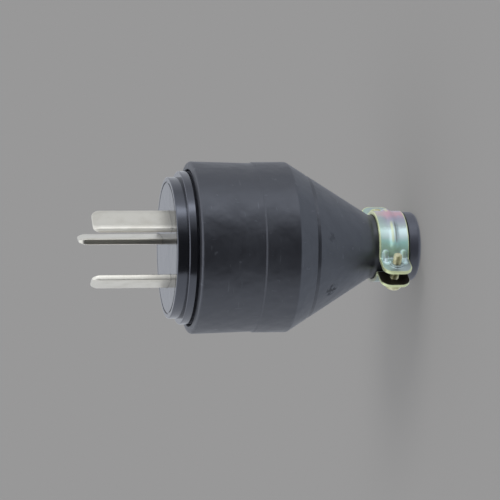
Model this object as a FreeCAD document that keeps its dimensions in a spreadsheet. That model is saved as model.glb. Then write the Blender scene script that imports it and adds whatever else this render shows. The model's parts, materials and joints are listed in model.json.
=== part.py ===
import FreeCAD, Part
import math
import os
import Sketcher

# A rewirable waterproof plug with three flat blades, a rubber boot and a steel clamp on its neck.
# The origin is the centre of the mating face. The blades point up, the cable leaves downwards.
# The earth blade stands on the +Y side. A depth is measured downwards from the mating face.

SIZES = {
    # blades
    "blade_width": 6.35,
    "blade_thickness": 1.6,
    "blade_length": 17.6,
    "earth_length": 19.2,
    "blade_pitch_radius": 7.92,
    "earth_pitch_radius": 10.31,
    "blade_angle": 30.0,
    "tip_taper_length": 1.5,
    "tip_taper_inset": 0.4,
    "tip_round": 1.4,
    "foot_end": 3.5,
    "foot_bend_round": 1.2,
    "slot_clearance": 0.05,
    # blade base
    "face_radius": 16.15,
    "face_ring_depth": 2.5,
    "face_groove_margin": 1.0,
    "face_groove_width": 0.4,
    "face_groove_cut": 0.2,
    "face_step": 1.35,
    "step_ring_length": 1.7,
    "step_groove_cut": 1.1,
    "step_groove_overlap": 0.15,
    "flange_lip": 0.8,
    "flange_thickness": 2.0,
    "rear_step": 0.7,
    "rear_length": 3.7,
    "base_edge_round": 0.3,
    # terminal screws and washers
    "terminal_screw_reach": 3.9,
    "terminal_thread_radius": 1.5,
    "terminal_head_radius": 2.75,
    "terminal_head_height": 2.0,
    "terminal_screw_length": 5.2,
    "washer_side": 6.5,
    "washer_thickness": 0.9,
    "washer_lip": 0.4,
    "washer_corner_round": 0.32,
    "screw_slot_width": 0.7,
    "screw_slot_depth": 0.9,
    "thread_clearance": 0.05,
    "screw_end_room": 0.6,
    # terminal barrier
    "barrier_gap": 0.6,
    "barrier_plate": 3.4,
    "barrier_height": 9.5,
    "barrier_wall": 1.8,
    "barrier_hub_radius": 3.4,
    "barrier_screw_margin": 0.7,
    "barrier_thread_radius": 1.25,
    "barrier_head_radius": 2.2,
    "barrier_head_height": 1.6,
    "barrier_screw_length": 7.0,
    "barrier_boss_wall": 0.9,
    "barrier_seat": 3.0,
    "head_clearance": 0.2,
    # rubber boot, from its mouth to its cable end
    "mouth_depth": 4.75,
    "mouth_gap": 0.3,
    "mouth_lip": 2.55,
    "rim_wall": 1.93,
    "rim_drop": 0.25,
    "rim_round": 0.65,
    "front_sleeve_length": 14.5,
    "waist_wall": 2.45,
    "band_step": 0.22,
    "rear_sleeve_length": 7.75,
    "shoulder_wall": 2.73,
    "shoulder_round": 0.6,
    "cone_length": 20.1,
    "ring_groove_place": 5.1,
    "ring_groove_width": 0.6,
    "ring_groove_cut": 0.35,
    "cone_end_round": 1.6,
    "neck_wall": 3.0,
    "neck_land": 0.95,
    "clamp_to_collar": 0.25,
    "collar_lip": 0.65,
    "collar_length": 2.8,
    "collar_round": 1.0,
    "cable_bore_radius": 4.4,
    "bore_lead": 2.6,
    "wiring_room": 2.0,
    "boot_clearance": 0.1,
    # cable clamp
    "clamp_width": 6.9,
    "clamp_sheet": 0.8,
    "clamp_clearance": 0.05,
    "clamp_angle": -113.0,
    "ear_gap": 2.8,
    "ear_length": 5.15,
    "ear_round": 2.3,
    "ear_bend_round": 0.7,
    "rib_width": 2.0,
    "rib_height": 0.5,
    "rib_start_angle": 37.0,
    "gusset_offset": 2.1,
    "gusset_radius": 0.6,
    "gusset_length": 2.6,
    "gusset_rise": 0.55,
    "gusset_angle": 42.0,
    "clamp_screw_place": 3.0,
    "clamp_thread_radius": 1.0,
    "clamp_head_radius": 1.95,
    "clamp_head_height": 1.4,
    "draw_wall": 0.65,
    "draw_height": 0.5,
    "lower_screw_end": 2.7,
    "upper_screw_end": 1.0,
    "lock_washer_thickness": 0.5,
    "lock_washer_width": 0.75,
    "lock_washer_slit": 0.35,
}

BLADES = 3
EARTH_ANGLE = 90.0
# A pan head is rounded over this share of its height, and a shank's end is broken by this share
# of its radius.
HEAD_ROUND_SHARE = 0.55
SHANK_BREAK_SHARE = 0.25


class Size:
    """A size: its number, and the expression that reads it from the sheet."""

    def __init__(self, number, text):
        self.number = number
        self.text = text

    def __add__(self, other):
        return Size(self.number + number_of(other), f"({self.text} + {text_of(other)})")

    def __sub__(self, other):
        return Size(self.number - number_of(other), f"({self.text} - {text_of(other)})")

    def __rsub__(self, other):
        return Size(number_of(other) - self.number, f"({text_of(other)} - {self.text})")

    def __mul__(self, other):
        return Size(self.number * number_of(other), f"({self.text} * {text_of(other)})")

    def __truediv__(self, other):
        return Size(self.number / number_of(other), f"({self.text} / {text_of(other)})")

    def __neg__(self):
        return Size(-self.number, f"(-1 * {self.text})")

    __radd__ = __add__
    __rmul__ = __mul__


def number_of(value):
    return value.number if isinstance(value, Size) else float(value)


def text_of(value):
    return value.text if isinstance(value, Size) else repr(float(value))


def cosine(angle):
    return Size(math.cos(math.radians(number_of(angle))), f"cos({text_of(angle)})")


def sine(angle):
    return Size(math.sin(math.radians(number_of(angle))), f"sin({text_of(angle)})")


def root(value):
    return Size(math.sqrt(value.number), f"sqrt({value.text})")


def size(name):
    return Size(SIZES[name], f"sizes.{name}")


def write_sheet():
    sheet = doc.addObject("Spreadsheet::Sheet", "sizes")
    for row, (name, value) in enumerate(SIZES.items(), start=1):
        sheet.set(f"A{row}", name.replace("_", " "))
        sheet.set(f"B{row}", str(value))
        sheet.setAlias(f"B{row}", name)
    doc.recompute()


def bind(target, field, value):
    """Set a number and, where it comes from the sheet, the expression that keeps it."""
    if isinstance(value, Size):
        target.setExpression(field, value.text)
    else:
        setattr(target, field, value)


def new_body(label):
    body = doc.addObject("PartDesign::Body", label)
    body.Label = label
    return body


def origin_feature(body, role):
    return next(item for item in body.Origin.OriginFeatures if item.Role == role)


def new_sketch(body, name, plane, level, turn):
    """An empty sketch on an origin plane, lifted along its normal and turned in its plane."""
    sketch = body.newObject("Sketcher::SketchObject", f"{body.Label}_{name}")
    sketch.AttachmentSupport = (origin_feature(body, plane), "")
    sketch.MapMode = "FlatFace"
    axis = FreeCAD.Vector(0, 0, 1)
    lift = FreeCAD.Vector(0, 0, number_of(level))
    sketch.AttachmentOffset = FreeCAD.Placement(lift, FreeCAD.Rotation(axis, number_of(turn)))
    if isinstance(level, Size):
        sketch.setExpression("AttachmentOffset.Base.z", level.text)
    if isinstance(turn, Size):
        sketch.setExpression("AttachmentOffset.Rotation.Angle", f"{turn.text} * 1 deg")
    return sketch


def hold(sketch, geometry, point, x, y):
    """Hold one point of a sketch at its two distances from the sketch's origin."""
    for kind, axis, value in (("DistanceX", -2, x), ("DistanceY", -1, y)):
        if number_of(value) == 0:
            sketch.addConstraint(Sketcher.Constraint("PointOnObject", geometry, point, axis))
            continue
        rule = Sketcher.Constraint(kind, -1, 1, geometry, point, number_of(value))
        index = sketch.addConstraint(rule)
        if isinstance(value, Size):
            sketch.setExpression(f"Constraints[{index}]", value.text)


def outline(body, name, corners, plane="XY_Plane", level=0, turn=0):
    """A closed sketch with straight sides through the corners."""
    sketch = new_sketch(body, name, plane, level, turn)
    add_outline(sketch, corners)
    return sketch


def add_outline(sketch, corners):
    first = sketch.GeometryCount
    count = len(corners)
    points = [FreeCAD.Vector(number_of(x), number_of(y), 0) for x, y in corners]
    for index in range(count):
        sketch.addGeometry(Part.LineSegment(points[index], points[(index + 1) % count]))
    for index in range(count):
        after = (index + 1) % count
        sketch.addConstraint(Sketcher.Constraint("Coincident", first + index, 2, first + after, 1))
    for index, (x, y) in enumerate(corners):
        hold(sketch, first + index, 1, x, y)


def rectangle(low_x, high_x, low_y, high_y):
    return [(low_x, low_y), (high_x, low_y), (high_x, high_y), (low_x, high_y)]


def circle(body, name, radius, x=0, y=0, plane="XY_Plane", level=0, turn=0):
    sketch = new_sketch(body, name, plane, level, turn)
    add_circle(sketch, radius, x, y)
    return sketch


def add_circle(sketch, radius, x=0, y=0):
    centre = FreeCAD.Vector(number_of(x), number_of(y), 0)
    ring = Part.Circle(centre, FreeCAD.Vector(0, 0, 1), number_of(radius))
    geometry = sketch.addGeometry(ring)
    hold(sketch, geometry, 3, x, y)
    index = sketch.addConstraint(Sketcher.Constraint("Radius", geometry, number_of(radius)))
    if isinstance(radius, Size):
        sketch.setExpression(f"Constraints[{index}]", radius.text)


def revolve(body, name, sketch):
    feature = body.newObject("PartDesign::Revolution", f"{body.Label}_{name}")
    feature.Profile = sketch
    feature.ReferenceAxis = (sketch, ["V_Axis"])
    feature.Angle = 360
    finish(body, feature)
    return feature


def turn_groove(body, name, sketch):
    before = body.Shape.Volume
    feature = body.newObject("PartDesign::Groove", f"{body.Label}_{name}")
    feature.Profile = sketch
    feature.ReferenceAxis = (sketch, ["V_Axis"])
    feature.Angle = 360
    finish(body, feature)
    must_shrink(body, feature, before)
    return feature


def pad(body, name, sketch, length, middle=False, reverse=False):
    feature = body.newObject("PartDesign::Pad", f"{body.Label}_{name}")
    feature.Profile = sketch
    bind(feature, "Length", length)
    feature.Midplane = middle
    feature.Reversed = reverse
    finish(body, feature)
    return feature


def pocket(body, name, sketch, length, middle=False, reverse=False):
    before = body.Shape.Volume
    feature = body.newObject("PartDesign::Pocket", f"{body.Label}_{name}")
    feature.Profile = sketch
    bind(feature, "Length", length)
    feature.Midplane = middle
    feature.Reversed = reverse
    finish(body, feature)
    must_shrink(body, feature, before)
    return feature


def polar(body, name, originals, count):
    feature = body.newObject("PartDesign::PolarPattern", f"{body.Label}_{name}")
    feature.Originals = originals
    feature.Axis = (origin_feature(body, "Z_Axis"), [""])
    feature.Angle = 360
    feature.Occurrences = count
    finish(body, feature)
    return feature


def finish(body, feature):
    body.Tip = feature
    doc.recompute()


def must_shrink(body, feature, before):
    if not body.Shape.Volume < before:
        raise RuntimeError(f"{feature.Name} cuts nothing")


def edges_where(body, test):
    """The names of the body's edges whose two ends and middle point pass the test."""
    names = []
    for index, edge in enumerate(body.Shape.Edges, start=1):
        low, high = edge.ParameterRange
        points = [edge.valueAt(low + (high - low) * share) for share in (0.0, 0.5, 1.0)]
        points = [body.Placement.inverse().multVec(point) for point in points]
        if all(test(point) for point in points):
            names.append(f"Edge{index}")
    return names


def dress(body, kind, name, field, amount, test):
    base = body.Tip
    names = edges_where(body, test)
    if not names:
        raise RuntimeError(f"no edge for {body.Label} {name}")
    feature = body.newObject(f"PartDesign::{kind}", f"{body.Label}_{name}")
    feature.Base = (base, names)
    bind(feature, field, amount)
    finish(body, feature)
    return feature


def fillet(body, name, radius, test):
    return dress(body, "Fillet", name, "Radius", radius, test)


def chamfer(body, name, amount, test):
    return dress(body, "Chamfer", name, "Size", amount, test)


def near(value, target, slack=0.01):
    return abs(value - number_of(target)) < slack


def on_ring(radius, level):
    """A test for the circular edge of this radius at this height."""
    return lambda point: near(math.hypot(point.x, point.y), radius) and near(point.z, level)


def place(body, x, y, z, rotation=None):
    body.Placement = FreeCAD.Placement(FreeCAD.Vector(0, 0, 0), rotation or FreeCAD.Rotation())
    set_base(body, x, y, z)
    doc.recompute()


def set_base(item, x, y, z):
    for letter, value in zip("xyz", (x, y, z)):
        item.setExpression(f"Placement.Base.{letter}", text_of(value))


def turned(angle):
    return FreeCAD.Rotation(FreeCAD.Vector(0, 0, 1), number_of(angle))


# Radii worked out from the sizes


def step_radius():
    return size("face_radius") + size("face_step")


def flange_radius():
    return step_radius() + size("flange_lip")


def base_rear_radius():
    return step_radius() - size("rear_step")


def cavity_radius():
    return base_rear_radius() + size("boot_clearance")


def mouth_radius():
    return step_radius() + size("mouth_gap")


def rim_radius():
    return mouth_radius() + size("rim_wall")


def waist_radius():
    return cavity_radius() + size("waist_wall")


def shoulder_radius():
    return cavity_radius() + size("shoulder_wall")


def neck_radius():
    return size("cable_bore_radius") + size("neck_wall")


def collar_radius():
    return neck_radius() + size("collar_lip")


def barrier_radius():
    return cavity_radius() - size("barrier_gap")


def counterbore_radius():
    return size("barrier_head_radius") + size("head_clearance")


def boss_radius():
    return counterbore_radius() + size("barrier_boss_wall")


def barrier_screw_radius():
    return barrier_radius() - boss_radius() - size("barrier_screw_margin")


def clamp_inner_radius():
    return neck_radius() + size("clamp_clearance")


def clamp_outer_radius():
    return clamp_inner_radius() + size("clamp_sheet")


# Depths worked out from the sizes, in order from the mating face to the cable end


def flange_front():
    return size("mouth_depth") + size("mouth_lip")


def flange_rear():
    return flange_front() + size("flange_thickness")


def base_depth():
    return flange_rear() + size("rear_length")


def foot_depth():
    return base_depth() + size("blade_thickness")


def barrier_depth():
    return base_depth() + size("barrier_height")


def cavity_depth():
    return barrier_depth() + size("wiring_room")


def rim_depth():
    return size("mouth_depth") + size("rim_drop")


def band_depth():
    return size("mouth_depth") + size("front_sleeve_length")


def shoulder_depth():
    return band_depth() + size("rear_sleeve_length")


def cone_end():
    return shoulder_depth() + size("cone_length")


def clamp_depth():
    return cone_end() + size("neck_land")


def clamp_middle():
    return clamp_depth() + size("clamp_width") / 2


def collar_depth():
    return clamp_depth() + size("clamp_width") + size("clamp_to_collar")


def boot_depth():
    return collar_depth() + size("collar_length")


# Other places that several pieces share


def foot_reach():
    return size("terminal_screw_reach") + size("foot_end")


def ear_inner():
    return size("ear_gap") / 2


def ear_outer():
    return ear_inner() + size("clamp_sheet")


def ear_reach():
    return clamp_outer_radius() + size("ear_length")


def clamp_screw_reach():
    return ear_reach() - size("clamp_screw_place")


def ear_root():
    """How far from the axis the outside of the band meets the outside of an ear."""
    outer = clamp_outer_radius()
    return root(outer * outer - ear_outer() * ear_outer())


def inner_ear_root():
    inner = clamp_inner_radius()
    return root(inner * inner - ear_inner() * ear_inner())


def line_angle():
    return -size("blade_angle")


def neutral_angle():
    return size("blade_angle") + 180


def terminals():
    """Name, pitch radius, angle and turn of the foot of each blade."""
    return [
        ("live", size("blade_pitch_radius"), line_angle(), line_angle()),
        ("neutral", size("blade_pitch_radius"), neutral_angle(), neutral_angle()),
        ("earth", size("earth_pitch_radius"), Size(EARTH_ANGLE, repr(EARTH_ANGLE)), 0),
    ]


def terminal_screw_place(pitch, angle, turn):
    reach = size("terminal_screw_reach")
    x = pitch * cosine(angle) + reach * cosine(turn)
    y = pitch * sine(angle) + reach * sine(turn)
    return x, y


def foot_outline(pitch, angle, turn, gap):
    """The sketch turn and corners of the space that a blade's folded foot takes."""
    half = size("blade_thickness") / 2 + gap
    side = size("blade_width") / 2 + gap
    reach = foot_reach() + gap
    if number_of(turn) == number_of(angle):
        return turn, rectangle(pitch - half, pitch + reach, -side, side)
    return 0, rectangle(-half, reach, pitch - side, pitch + side)


# The moulded rubber boot


def make_rubber_boot():
    body = new_body("rubber_boot")
    seat = flange_radius() + size("boot_clearance")
    bore_top = cone_end() - size("bore_lead")
    corners = [
        (mouth_radius(), -size("mouth_depth")),
        (rim_radius(), -rim_depth()),
        (waist_radius(), -band_depth()),
        (waist_radius() + size("band_step"), -band_depth()),
        (shoulder_radius(), -shoulder_depth()),
        (neck_radius(), -cone_end()),
        (neck_radius(), -collar_depth()),
        (collar_radius(), -collar_depth()),
        (collar_radius(), -boot_depth()),
        (size("cable_bore_radius"), -boot_depth()),
        (size("cable_bore_radius"), -bore_top),
        (cavity_radius(), -cavity_depth()),
        (cavity_radius(), -flange_rear()),
        (seat, -flange_rear()),
        (seat, -flange_front()),
        (mouth_radius(), -flange_front()),
    ]
    revolve(body, "shell", outline(body, "section", corners, plane="XZ_Plane"))
    cut_ring_groove(body)
    fillet(body, "rim_edge", size("rim_round"), on_ring(rim_radius(), -rim_depth()))
    fillet(body, "shoulder", size("shoulder_round"), on_ring(shoulder_radius(), -shoulder_depth()))
    fillet(body, "cone_end", size("cone_end_round"), on_ring(neck_radius(), -cone_end()))
    fillet(body, "collar_end", size("collar_round"), on_ring(collar_radius(), -boot_depth()))
    return body


def cut_ring_groove(body):
    """A narrow ring-shaped groove round the cone, near its wide end."""
    half = size("ring_groove_width") / 2
    along = size("ring_groove_place") / size("cone_length")
    middle = shoulder_depth() + size("ring_groove_place")
    surface = shoulder_radius() - (shoulder_radius() - neck_radius()) * along
    floor = surface - size("ring_groove_cut")
    corners = rectangle(floor, shoulder_radius(), -(middle + half), -(middle - half))
    turn_groove(body, "ring_groove", outline(body, "groove_section", corners, plane="XZ_Plane"))


# The stepped base that holds the blades


def make_blade_base():
    body = new_body("blade_base")
    corners = [
        (0, 0),
        (size("face_radius"), 0),
        (size("face_radius"), -size("face_ring_depth")),
        (step_radius(), -size("face_ring_depth")),
        (step_radius(), -flange_front()),
        (flange_radius(), -flange_front()),
        (flange_radius(), -flange_rear()),
        (base_rear_radius(), -flange_rear()),
        (base_rear_radius(), -base_depth()),
        (0, -base_depth()),
    ]
    revolve(body, "disc", outline(body, "section", corners, plane="XZ_Plane"))
    fillet(body, "face_edge", size("base_edge_round"), on_ring(size("face_radius"), 0))
    step = on_ring(step_radius(), -size("face_ring_depth"))
    fillet(body, "step_edge", size("base_edge_round"), step)
    cut_step_groove(body)
    cut_face_groove(body)
    for name, pitch, angle, turn in terminals():
        cut_blade_slot(body, name, pitch, angle, turn)
        cut_terminal_screw_hole(body, name, pitch, angle, turn)
    cut_barrier_screw_holes(body)
    return body


def cut_step_groove(body):
    """A ring-shaped groove round the wider step, which the mouth of the boot half covers."""
    front = size("face_ring_depth") + size("step_ring_length")
    rear = size("mouth_depth") + size("step_groove_overlap")
    corners = rectangle(step_radius() - size("step_groove_cut"), step_radius(), -rear, -front)
    turn_groove(body, "step_groove", outline(body, "step_groove_section", corners, plane="XZ_Plane"))


def cut_face_groove(body):
    """A shallow ring-shaped groove in the mating face, a little inside its edge."""
    outer = size("face_radius") - size("face_groove_margin")
    corners = rectangle(outer - size("face_groove_width"), outer, -size("face_groove_cut"), 0)
    turn_groove(body, "face_groove", outline(body, "groove_section", corners, plane="XZ_Plane"))


def cut_blade_slot(body, name, pitch, angle, turn):
    gap = size("slot_clearance")
    half = size("blade_thickness") / 2 + gap
    side = size("blade_width") / 2 + gap
    if number_of(turn) == number_of(angle):
        sketch_turn = turn
        corners = rectangle(pitch - half, pitch + half, -side, side)
    else:
        sketch_turn = 0
        corners = rectangle(-half, half, pitch - side, pitch + side)
    sketch = outline(body, f"{name}_slot_outline", corners, turn=sketch_turn)
    pocket(body, f"{name}_slot", sketch, base_depth())


def cut_terminal_screw_hole(body, name, pitch, angle, turn):
    radius = size("terminal_thread_radius") + size("thread_clearance")
    x, y = terminal_screw_place(pitch, angle, turn)
    level = -base_depth()
    sketch = circle(body, f"{name}_screw_hole_outline", radius, x, y, level=level)
    behind_foot = size("terminal_screw_length") - size("washer_thickness") - size("blade_thickness")
    pocket(body, f"{name}_screw_hole", sketch, behind_foot + size("screw_end_room"), reverse=True)


def barrier_screw_angle():
    return size("blade_angle")


def barrier_screw_grip():
    """How far a barrier screw reaches into the base."""
    seat_depth = base_depth() + size("barrier_seat")
    return base_depth() - (seat_depth - size("barrier_screw_length"))


def cut_barrier_screw_holes(body):
    radius = size("barrier_thread_radius") + size("thread_clearance")
    level = -base_depth()
    sketch = circle(
        body, "barrier_screw_hole_outline", radius, barrier_screw_radius(),
        level=level, turn=barrier_screw_angle(),
    )
    length = barrier_screw_grip() + size("screw_end_room")
    hole = pocket(body, "barrier_screw_hole", sketch, length, reverse=True)
    polar(body, "barrier_screw_holes", [hole], BLADES)


# The flat blades with their folded feet


def make_blade(name, length, pitch, angle, turn):
    """A blade that stands on the Z axis, with its flat sides facing X and its foot towards +X."""
    body = new_body(f"{name}_blade")
    half = size("blade_thickness") / 2
    side = size("blade_width") / 2
    bottom = -foot_depth()
    strip = outline(body, "strip_outline", rectangle(-half, half, -side, side), level=bottom)
    pad(body, "strip", strip, foot_depth() + length)
    taper_tip(body, half, length)
    foot_corners = rectangle(-half, foot_reach(), -side, side)
    foot = outline(body, "foot_outline", foot_corners, level=bottom)
    pad(body, "foot", foot, size("blade_thickness"))
    fillet(
        body, "tip_corners", size("tip_round"),
        lambda point: near(point.z, length) and near(abs(point.y), side),
    )
    fillet(
        body, "foot_corners", size("tip_round"),
        lambda point: near(point.x, foot_reach()) and near(abs(point.y), side),
    )
    fillet(
        body, "fold", size("foot_bend_round"),
        lambda point: near(point.x, -half) and near(point.z, bottom),
    )
    radius = size("terminal_thread_radius") + size("thread_clearance")
    hole = circle(body, "hole_outline", radius, size("terminal_screw_reach"), level=bottom)
    pocket(body, "hole", hole, size("blade_thickness"), reverse=True)
    place(body, pitch * cosine(angle), pitch * sine(angle), 0, turned(turn))
    return body


def taper_tip(body, half, length):
    """Two shallow wedges are taken off the flat sides at the tip."""
    start = length - size("tip_taper_length")
    inner = half - size("tip_taper_inset")
    sketch = new_sketch(body, "taper_outline", "XZ_Plane", 0, 0)
    add_outline(sketch, [(half, start), (half, length), (inner, length)])
    add_outline(sketch, [(-half, start), (-half, length), (-inner, length)])
    pocket(body, "taper", sketch, size("blade_width"), middle=True)


# Screws and washers


def make_screw(label, thread, length, head, height):
    """A pan-head screw: the head hangs below its bearing face, the shank stands on it."""
    body = new_body(label)
    corners = [
        (0, -height),
        (head, -height),
        (head, 0),
        (thread, 0),
        (thread, length),
        (0, length),
    ]
    revolve(body, "turned", outline(body, "section", corners, plane="XZ_Plane"))
    fillet(body, "head_edge", height * HEAD_ROUND_SHARE, on_ring(head, -height))
    chamfer(body, "shank_end", thread * SHANK_BREAK_SHARE, on_ring(thread, length))
    half = size("screw_slot_width") / 2
    slot = outline(body, "slot_outline", rectangle(-half, half, -head, head), level=-height)
    pocket(body, "slot", slot, size("screw_slot_depth"), reverse=True)
    return body


def make_terminal_washer(name):
    """A square clamping plate with two lips turned down away from the foot."""
    body = new_body(f"{name}_terminal_washer")
    half = size("washer_side") / 2
    plate = outline(body, "plate_outline", rectangle(-half, half, -half, half))
    pad(body, "plate", plate, size("washer_thickness"), reverse=True)
    inner = half - size("washer_lip")
    level = -size("washer_thickness")
    sketch = new_sketch(body, "lip_outline", "XY_Plane", level, 0)
    add_outline(sketch, rectangle(inner, half, -half, half))
    add_outline(sketch, rectangle(-half, -inner, -half, half))
    pad(body, "lips", sketch, size("washer_lip"), reverse=True)
    radius = size("terminal_thread_radius") + size("thread_clearance")
    pocket(body, "hole", circle(body, "hole_outline", radius), size("washer_thickness"))
    fillet(
        body, "corners", size("washer_corner_round"),
        lambda point: near(abs(point.x), half) and near(abs(point.y), half),
    )
    return body


def make_terminal(name, pitch, angle, turn):
    """The screw and the clamping washer on a blade's foot."""
    x, y = terminal_screw_place(pitch, angle, turn)
    washer = make_terminal_washer(name)
    place(washer, x, y, -foot_depth(), turned(turn))
    screw = make_screw(
        f"{name}_terminal_screw", size("terminal_thread_radius"), size("terminal_screw_length"),
        size("terminal_head_radius"), size("terminal_head_height"),
    )
    place(screw, x, y, -(foot_depth() + size("washer_thickness")), turned(turn))
    return [washer, screw]


# The barrier that traps the feet and keeps the terminals apart


def make_terminal_barrier():
    body = new_body("terminal_barrier")
    top = -base_depth()
    plate = circle(body, "plate_outline", barrier_radius(), level=top)
    pad(body, "plate", plate, size("barrier_plate"), reverse=True)
    tall = size("barrier_height")
    hub = circle(body, "hub_outline", size("barrier_hub_radius"), level=top)
    pad(body, "hub", hub, tall, reverse=True)
    add_barrier_arms(body, top, tall)
    for name, pitch, angle, turn in terminals():
        cut_foot_room(body, name, pitch, angle, turn)
    return body


def add_barrier_arms(body, top, tall):
    half = size("barrier_wall") / 2
    reach = barrier_screw_radius()
    turn = barrier_screw_angle()
    arm = outline(body, "arm_outline", rectangle(0, reach, -half, half), level=top, turn=turn)
    arm_pad = pad(body, "arm", arm, tall, reverse=True)
    boss = circle(body, "boss_outline", boss_radius(), reach, level=top, turn=turn)
    boss_pad = pad(body, "boss", boss, tall, reverse=True)
    polar(body, "arms", [arm_pad, boss_pad], BLADES)
    thread = size("barrier_thread_radius") + size("thread_clearance")
    hole = circle(body, "hole_outline", thread, reach, level=top, turn=turn)
    hole_cut = pocket(body, "hole", hole, size("barrier_seat"))
    seat = top - size("barrier_seat")
    wide = circle(body, "counterbore_outline", counterbore_radius(), reach, level=seat, turn=turn)
    wide_cut = pocket(body, "counterbore", wide, tall - size("barrier_seat"))
    polar(body, "holes", [hole_cut, wide_cut], BLADES)


def cut_foot_room(body, name, pitch, angle, turn):
    """A shallow bed for the foot, and a window for its screw and washer."""
    gap = size("slot_clearance")
    level = -base_depth()
    sketch_turn, corners = foot_outline(pitch, angle, turn, gap)
    bed = outline(body, f"{name}_bed_outline", corners, level=level, turn=sketch_turn)
    pocket(body, f"{name}_bed", bed, size("blade_thickness"))
    half = size("washer_side") / 2 + size("head_clearance")
    reach = size("terminal_screw_reach")
    if number_of(turn) == number_of(angle):
        centre = pitch + reach
        window_corners = rectangle(centre - half, centre + half, -half, half)
    else:
        window_corners = rectangle(reach - half, reach + half, pitch - half, pitch + half)
    window = outline(
        body, f"{name}_window_outline", window_corners, level=level, turn=sketch_turn
    )
    pocket(body, f"{name}_window", window, size("barrier_height"))


# The pressed steel clamp round the neck. Each half is made with its ears along X and its
# band on the +Y side, centred on Z.


def make_clamp_half(label, tapped, turn):
    body = new_body(label)
    outer = clamp_outer_radius()
    disc = circle(body, "disc_outline", outer)
    pad(body, "disc", disc, size("clamp_width"), middle=True)
    ears = rectangle(-ear_reach(), ear_reach(), ear_inner(), ear_outer())
    pad(body, "ears", outline(body, "ears_outline", ears), size("clamp_width"), middle=True)
    fillet(
        body, "ear_roots", size("ear_bend_round"),
        lambda point: near(abs(point.x), ear_root()) and near(point.y, ear_outer()),
    )
    fillet(
        body, "ear_corners", size("ear_round"),
        lambda point: near(abs(point.x), ear_reach())
        and near(abs(point.z), size("clamp_width") / 2),
    )
    add_rib(body, "rib", clamp_rib_radius(), "Additive")
    add_gussets(body)
    cut_away_other_half(body)
    pocket(
        body, "neck_room", circle(body, "neck_outline", clamp_inner_radius()),
        size("clamp_width") * 2, middle=True,
    )
    add_rib(body, "rib_hollow", clamp_rib_radius() - size("clamp_sheet"), "Subtractive")
    fillet(
        body, "inner_roots", size("ear_bend_round"),
        lambda point: near(abs(point.x), inner_ear_root()) and near(point.y, ear_inner()),
    )
    if tapped:
        add_tapped_collars(body)
    cut_ear_holes(body)
    place(body, 0, 0, -clamp_middle(), turned(number_of(size("clamp_angle")) + turn))
    return body


def clamp_rib_radius():
    """The radius of the rib's round section, from its width and height."""
    half = size("rib_width") / 2
    height = size("rib_height")
    return (half * half + height * height) / (height * 2)


def add_rib(body, name, section, kind):
    """A raised rib that follows the band and ends in two round noses."""
    path = clamp_outer_radius() + size("rib_height") - clamp_rib_radius()
    start = size("rib_start_angle")
    torus = body.newObject(f"PartDesign::{kind}Torus", f"{body.Label}_{name}")
    bind(torus, "Radius1", path)
    bind(torus, "Radius2", section)
    bind(torus, "Angle3", 180 - start * 2)
    torus.Placement = FreeCAD.Placement(FreeCAD.Vector(0, 0, 0), turned(start))
    torus.setExpression("Placement.Rotation.Angle", f"{start.text} * 1 deg")
    finish(body, torus)
    for side in (1, -1):
        nose = body.newObject(f"PartDesign::{kind}Sphere", f"{body.Label}_{name}_nose")
        bind(nose, "Radius", section)
        set_base(nose, path * cosine(start) * side, path * sine(start), 0)
        finish(body, nose)


def add_gussets(body):
    """Pressed ridges that bridge the bends between the band and its ears."""
    for side in (1, -1):
        for end in (1, -1):
            add_gusset(body, side, size("gusset_offset") * end)


def add_gusset(body, side, level):
    """A round ridge, from inside the band's wall to inside the ear's, with rounded ends."""
    angle = size("gusset_angle")
    half = size("gusset_length") / 2
    x = ear_root() + size("gusset_rise") * sine(angle)
    y = ear_outer() + size("gusset_rise") * cosine(angle)
    ends = []
    for along in (-half, half):
        ends.append((x + along * cosine(angle), y - along * sine(angle)))
    for end_x, end_y in ends:
        ball = body.newObject("PartDesign::AdditiveSphere", f"{body.Label}_gusset_end")
        bind(ball, "Radius", size("gusset_radius"))
        set_base(ball, end_x * side, end_y, level)
        finish(body, ball)
    ridge = body.newObject("PartDesign::AdditiveCylinder", f"{body.Label}_gusset")
    bind(ridge, "Radius", size("gusset_radius"))
    bind(ridge, "Height", size("gusset_length"))
    along = FreeCAD.Vector(cosine(angle).number * side, -sine(angle).number, 0)
    turn = FreeCAD.Rotation(FreeCAD.Vector(0, 0, 1), along)
    ridge.Placement = FreeCAD.Placement(FreeCAD.Vector(0, 0, 0), turn)
    set_base(ridge, ends[0][0] * side, ends[0][1], level)
    finish(body, ridge)


def cut_away_other_half(body):
    reach = ear_reach() * 2
    corners = rectangle(-reach, reach, -reach, ear_inner())
    sketch = outline(body, "other_half_outline", corners)
    pocket(body, "other_half", sketch, size("clamp_width") * 2, middle=True)


def add_tapped_collars(body):
    """Short collars drawn up round the tapped holes."""
    radius = size("clamp_thread_radius") + size("draw_wall")
    level = -ear_outer()
    sketch = new_sketch(body, "collar_outline", "XZ_Plane", level, 0)
    for side in (1, -1):
        add_circle(sketch, radius, clamp_screw_reach() * side, 0)
    pad(body, "collars", sketch, size("draw_height"), reverse=True)


def cut_ear_holes(body):
    radius = size("clamp_thread_radius") + size("thread_clearance")
    sketch = new_sketch(body, "ear_holes_outline", "XZ_Plane", 0, 0)
    for side in (1, -1):
        add_circle(sketch, radius, clamp_screw_reach() * side, 0)
    pocket(body, "ear_holes", sketch, ear_reach(), middle=True)


def clamp_point(x, y):
    angle = size("clamp_angle")
    return x * cosine(angle) - y * sine(angle), x * sine(angle) + y * cosine(angle)


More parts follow.
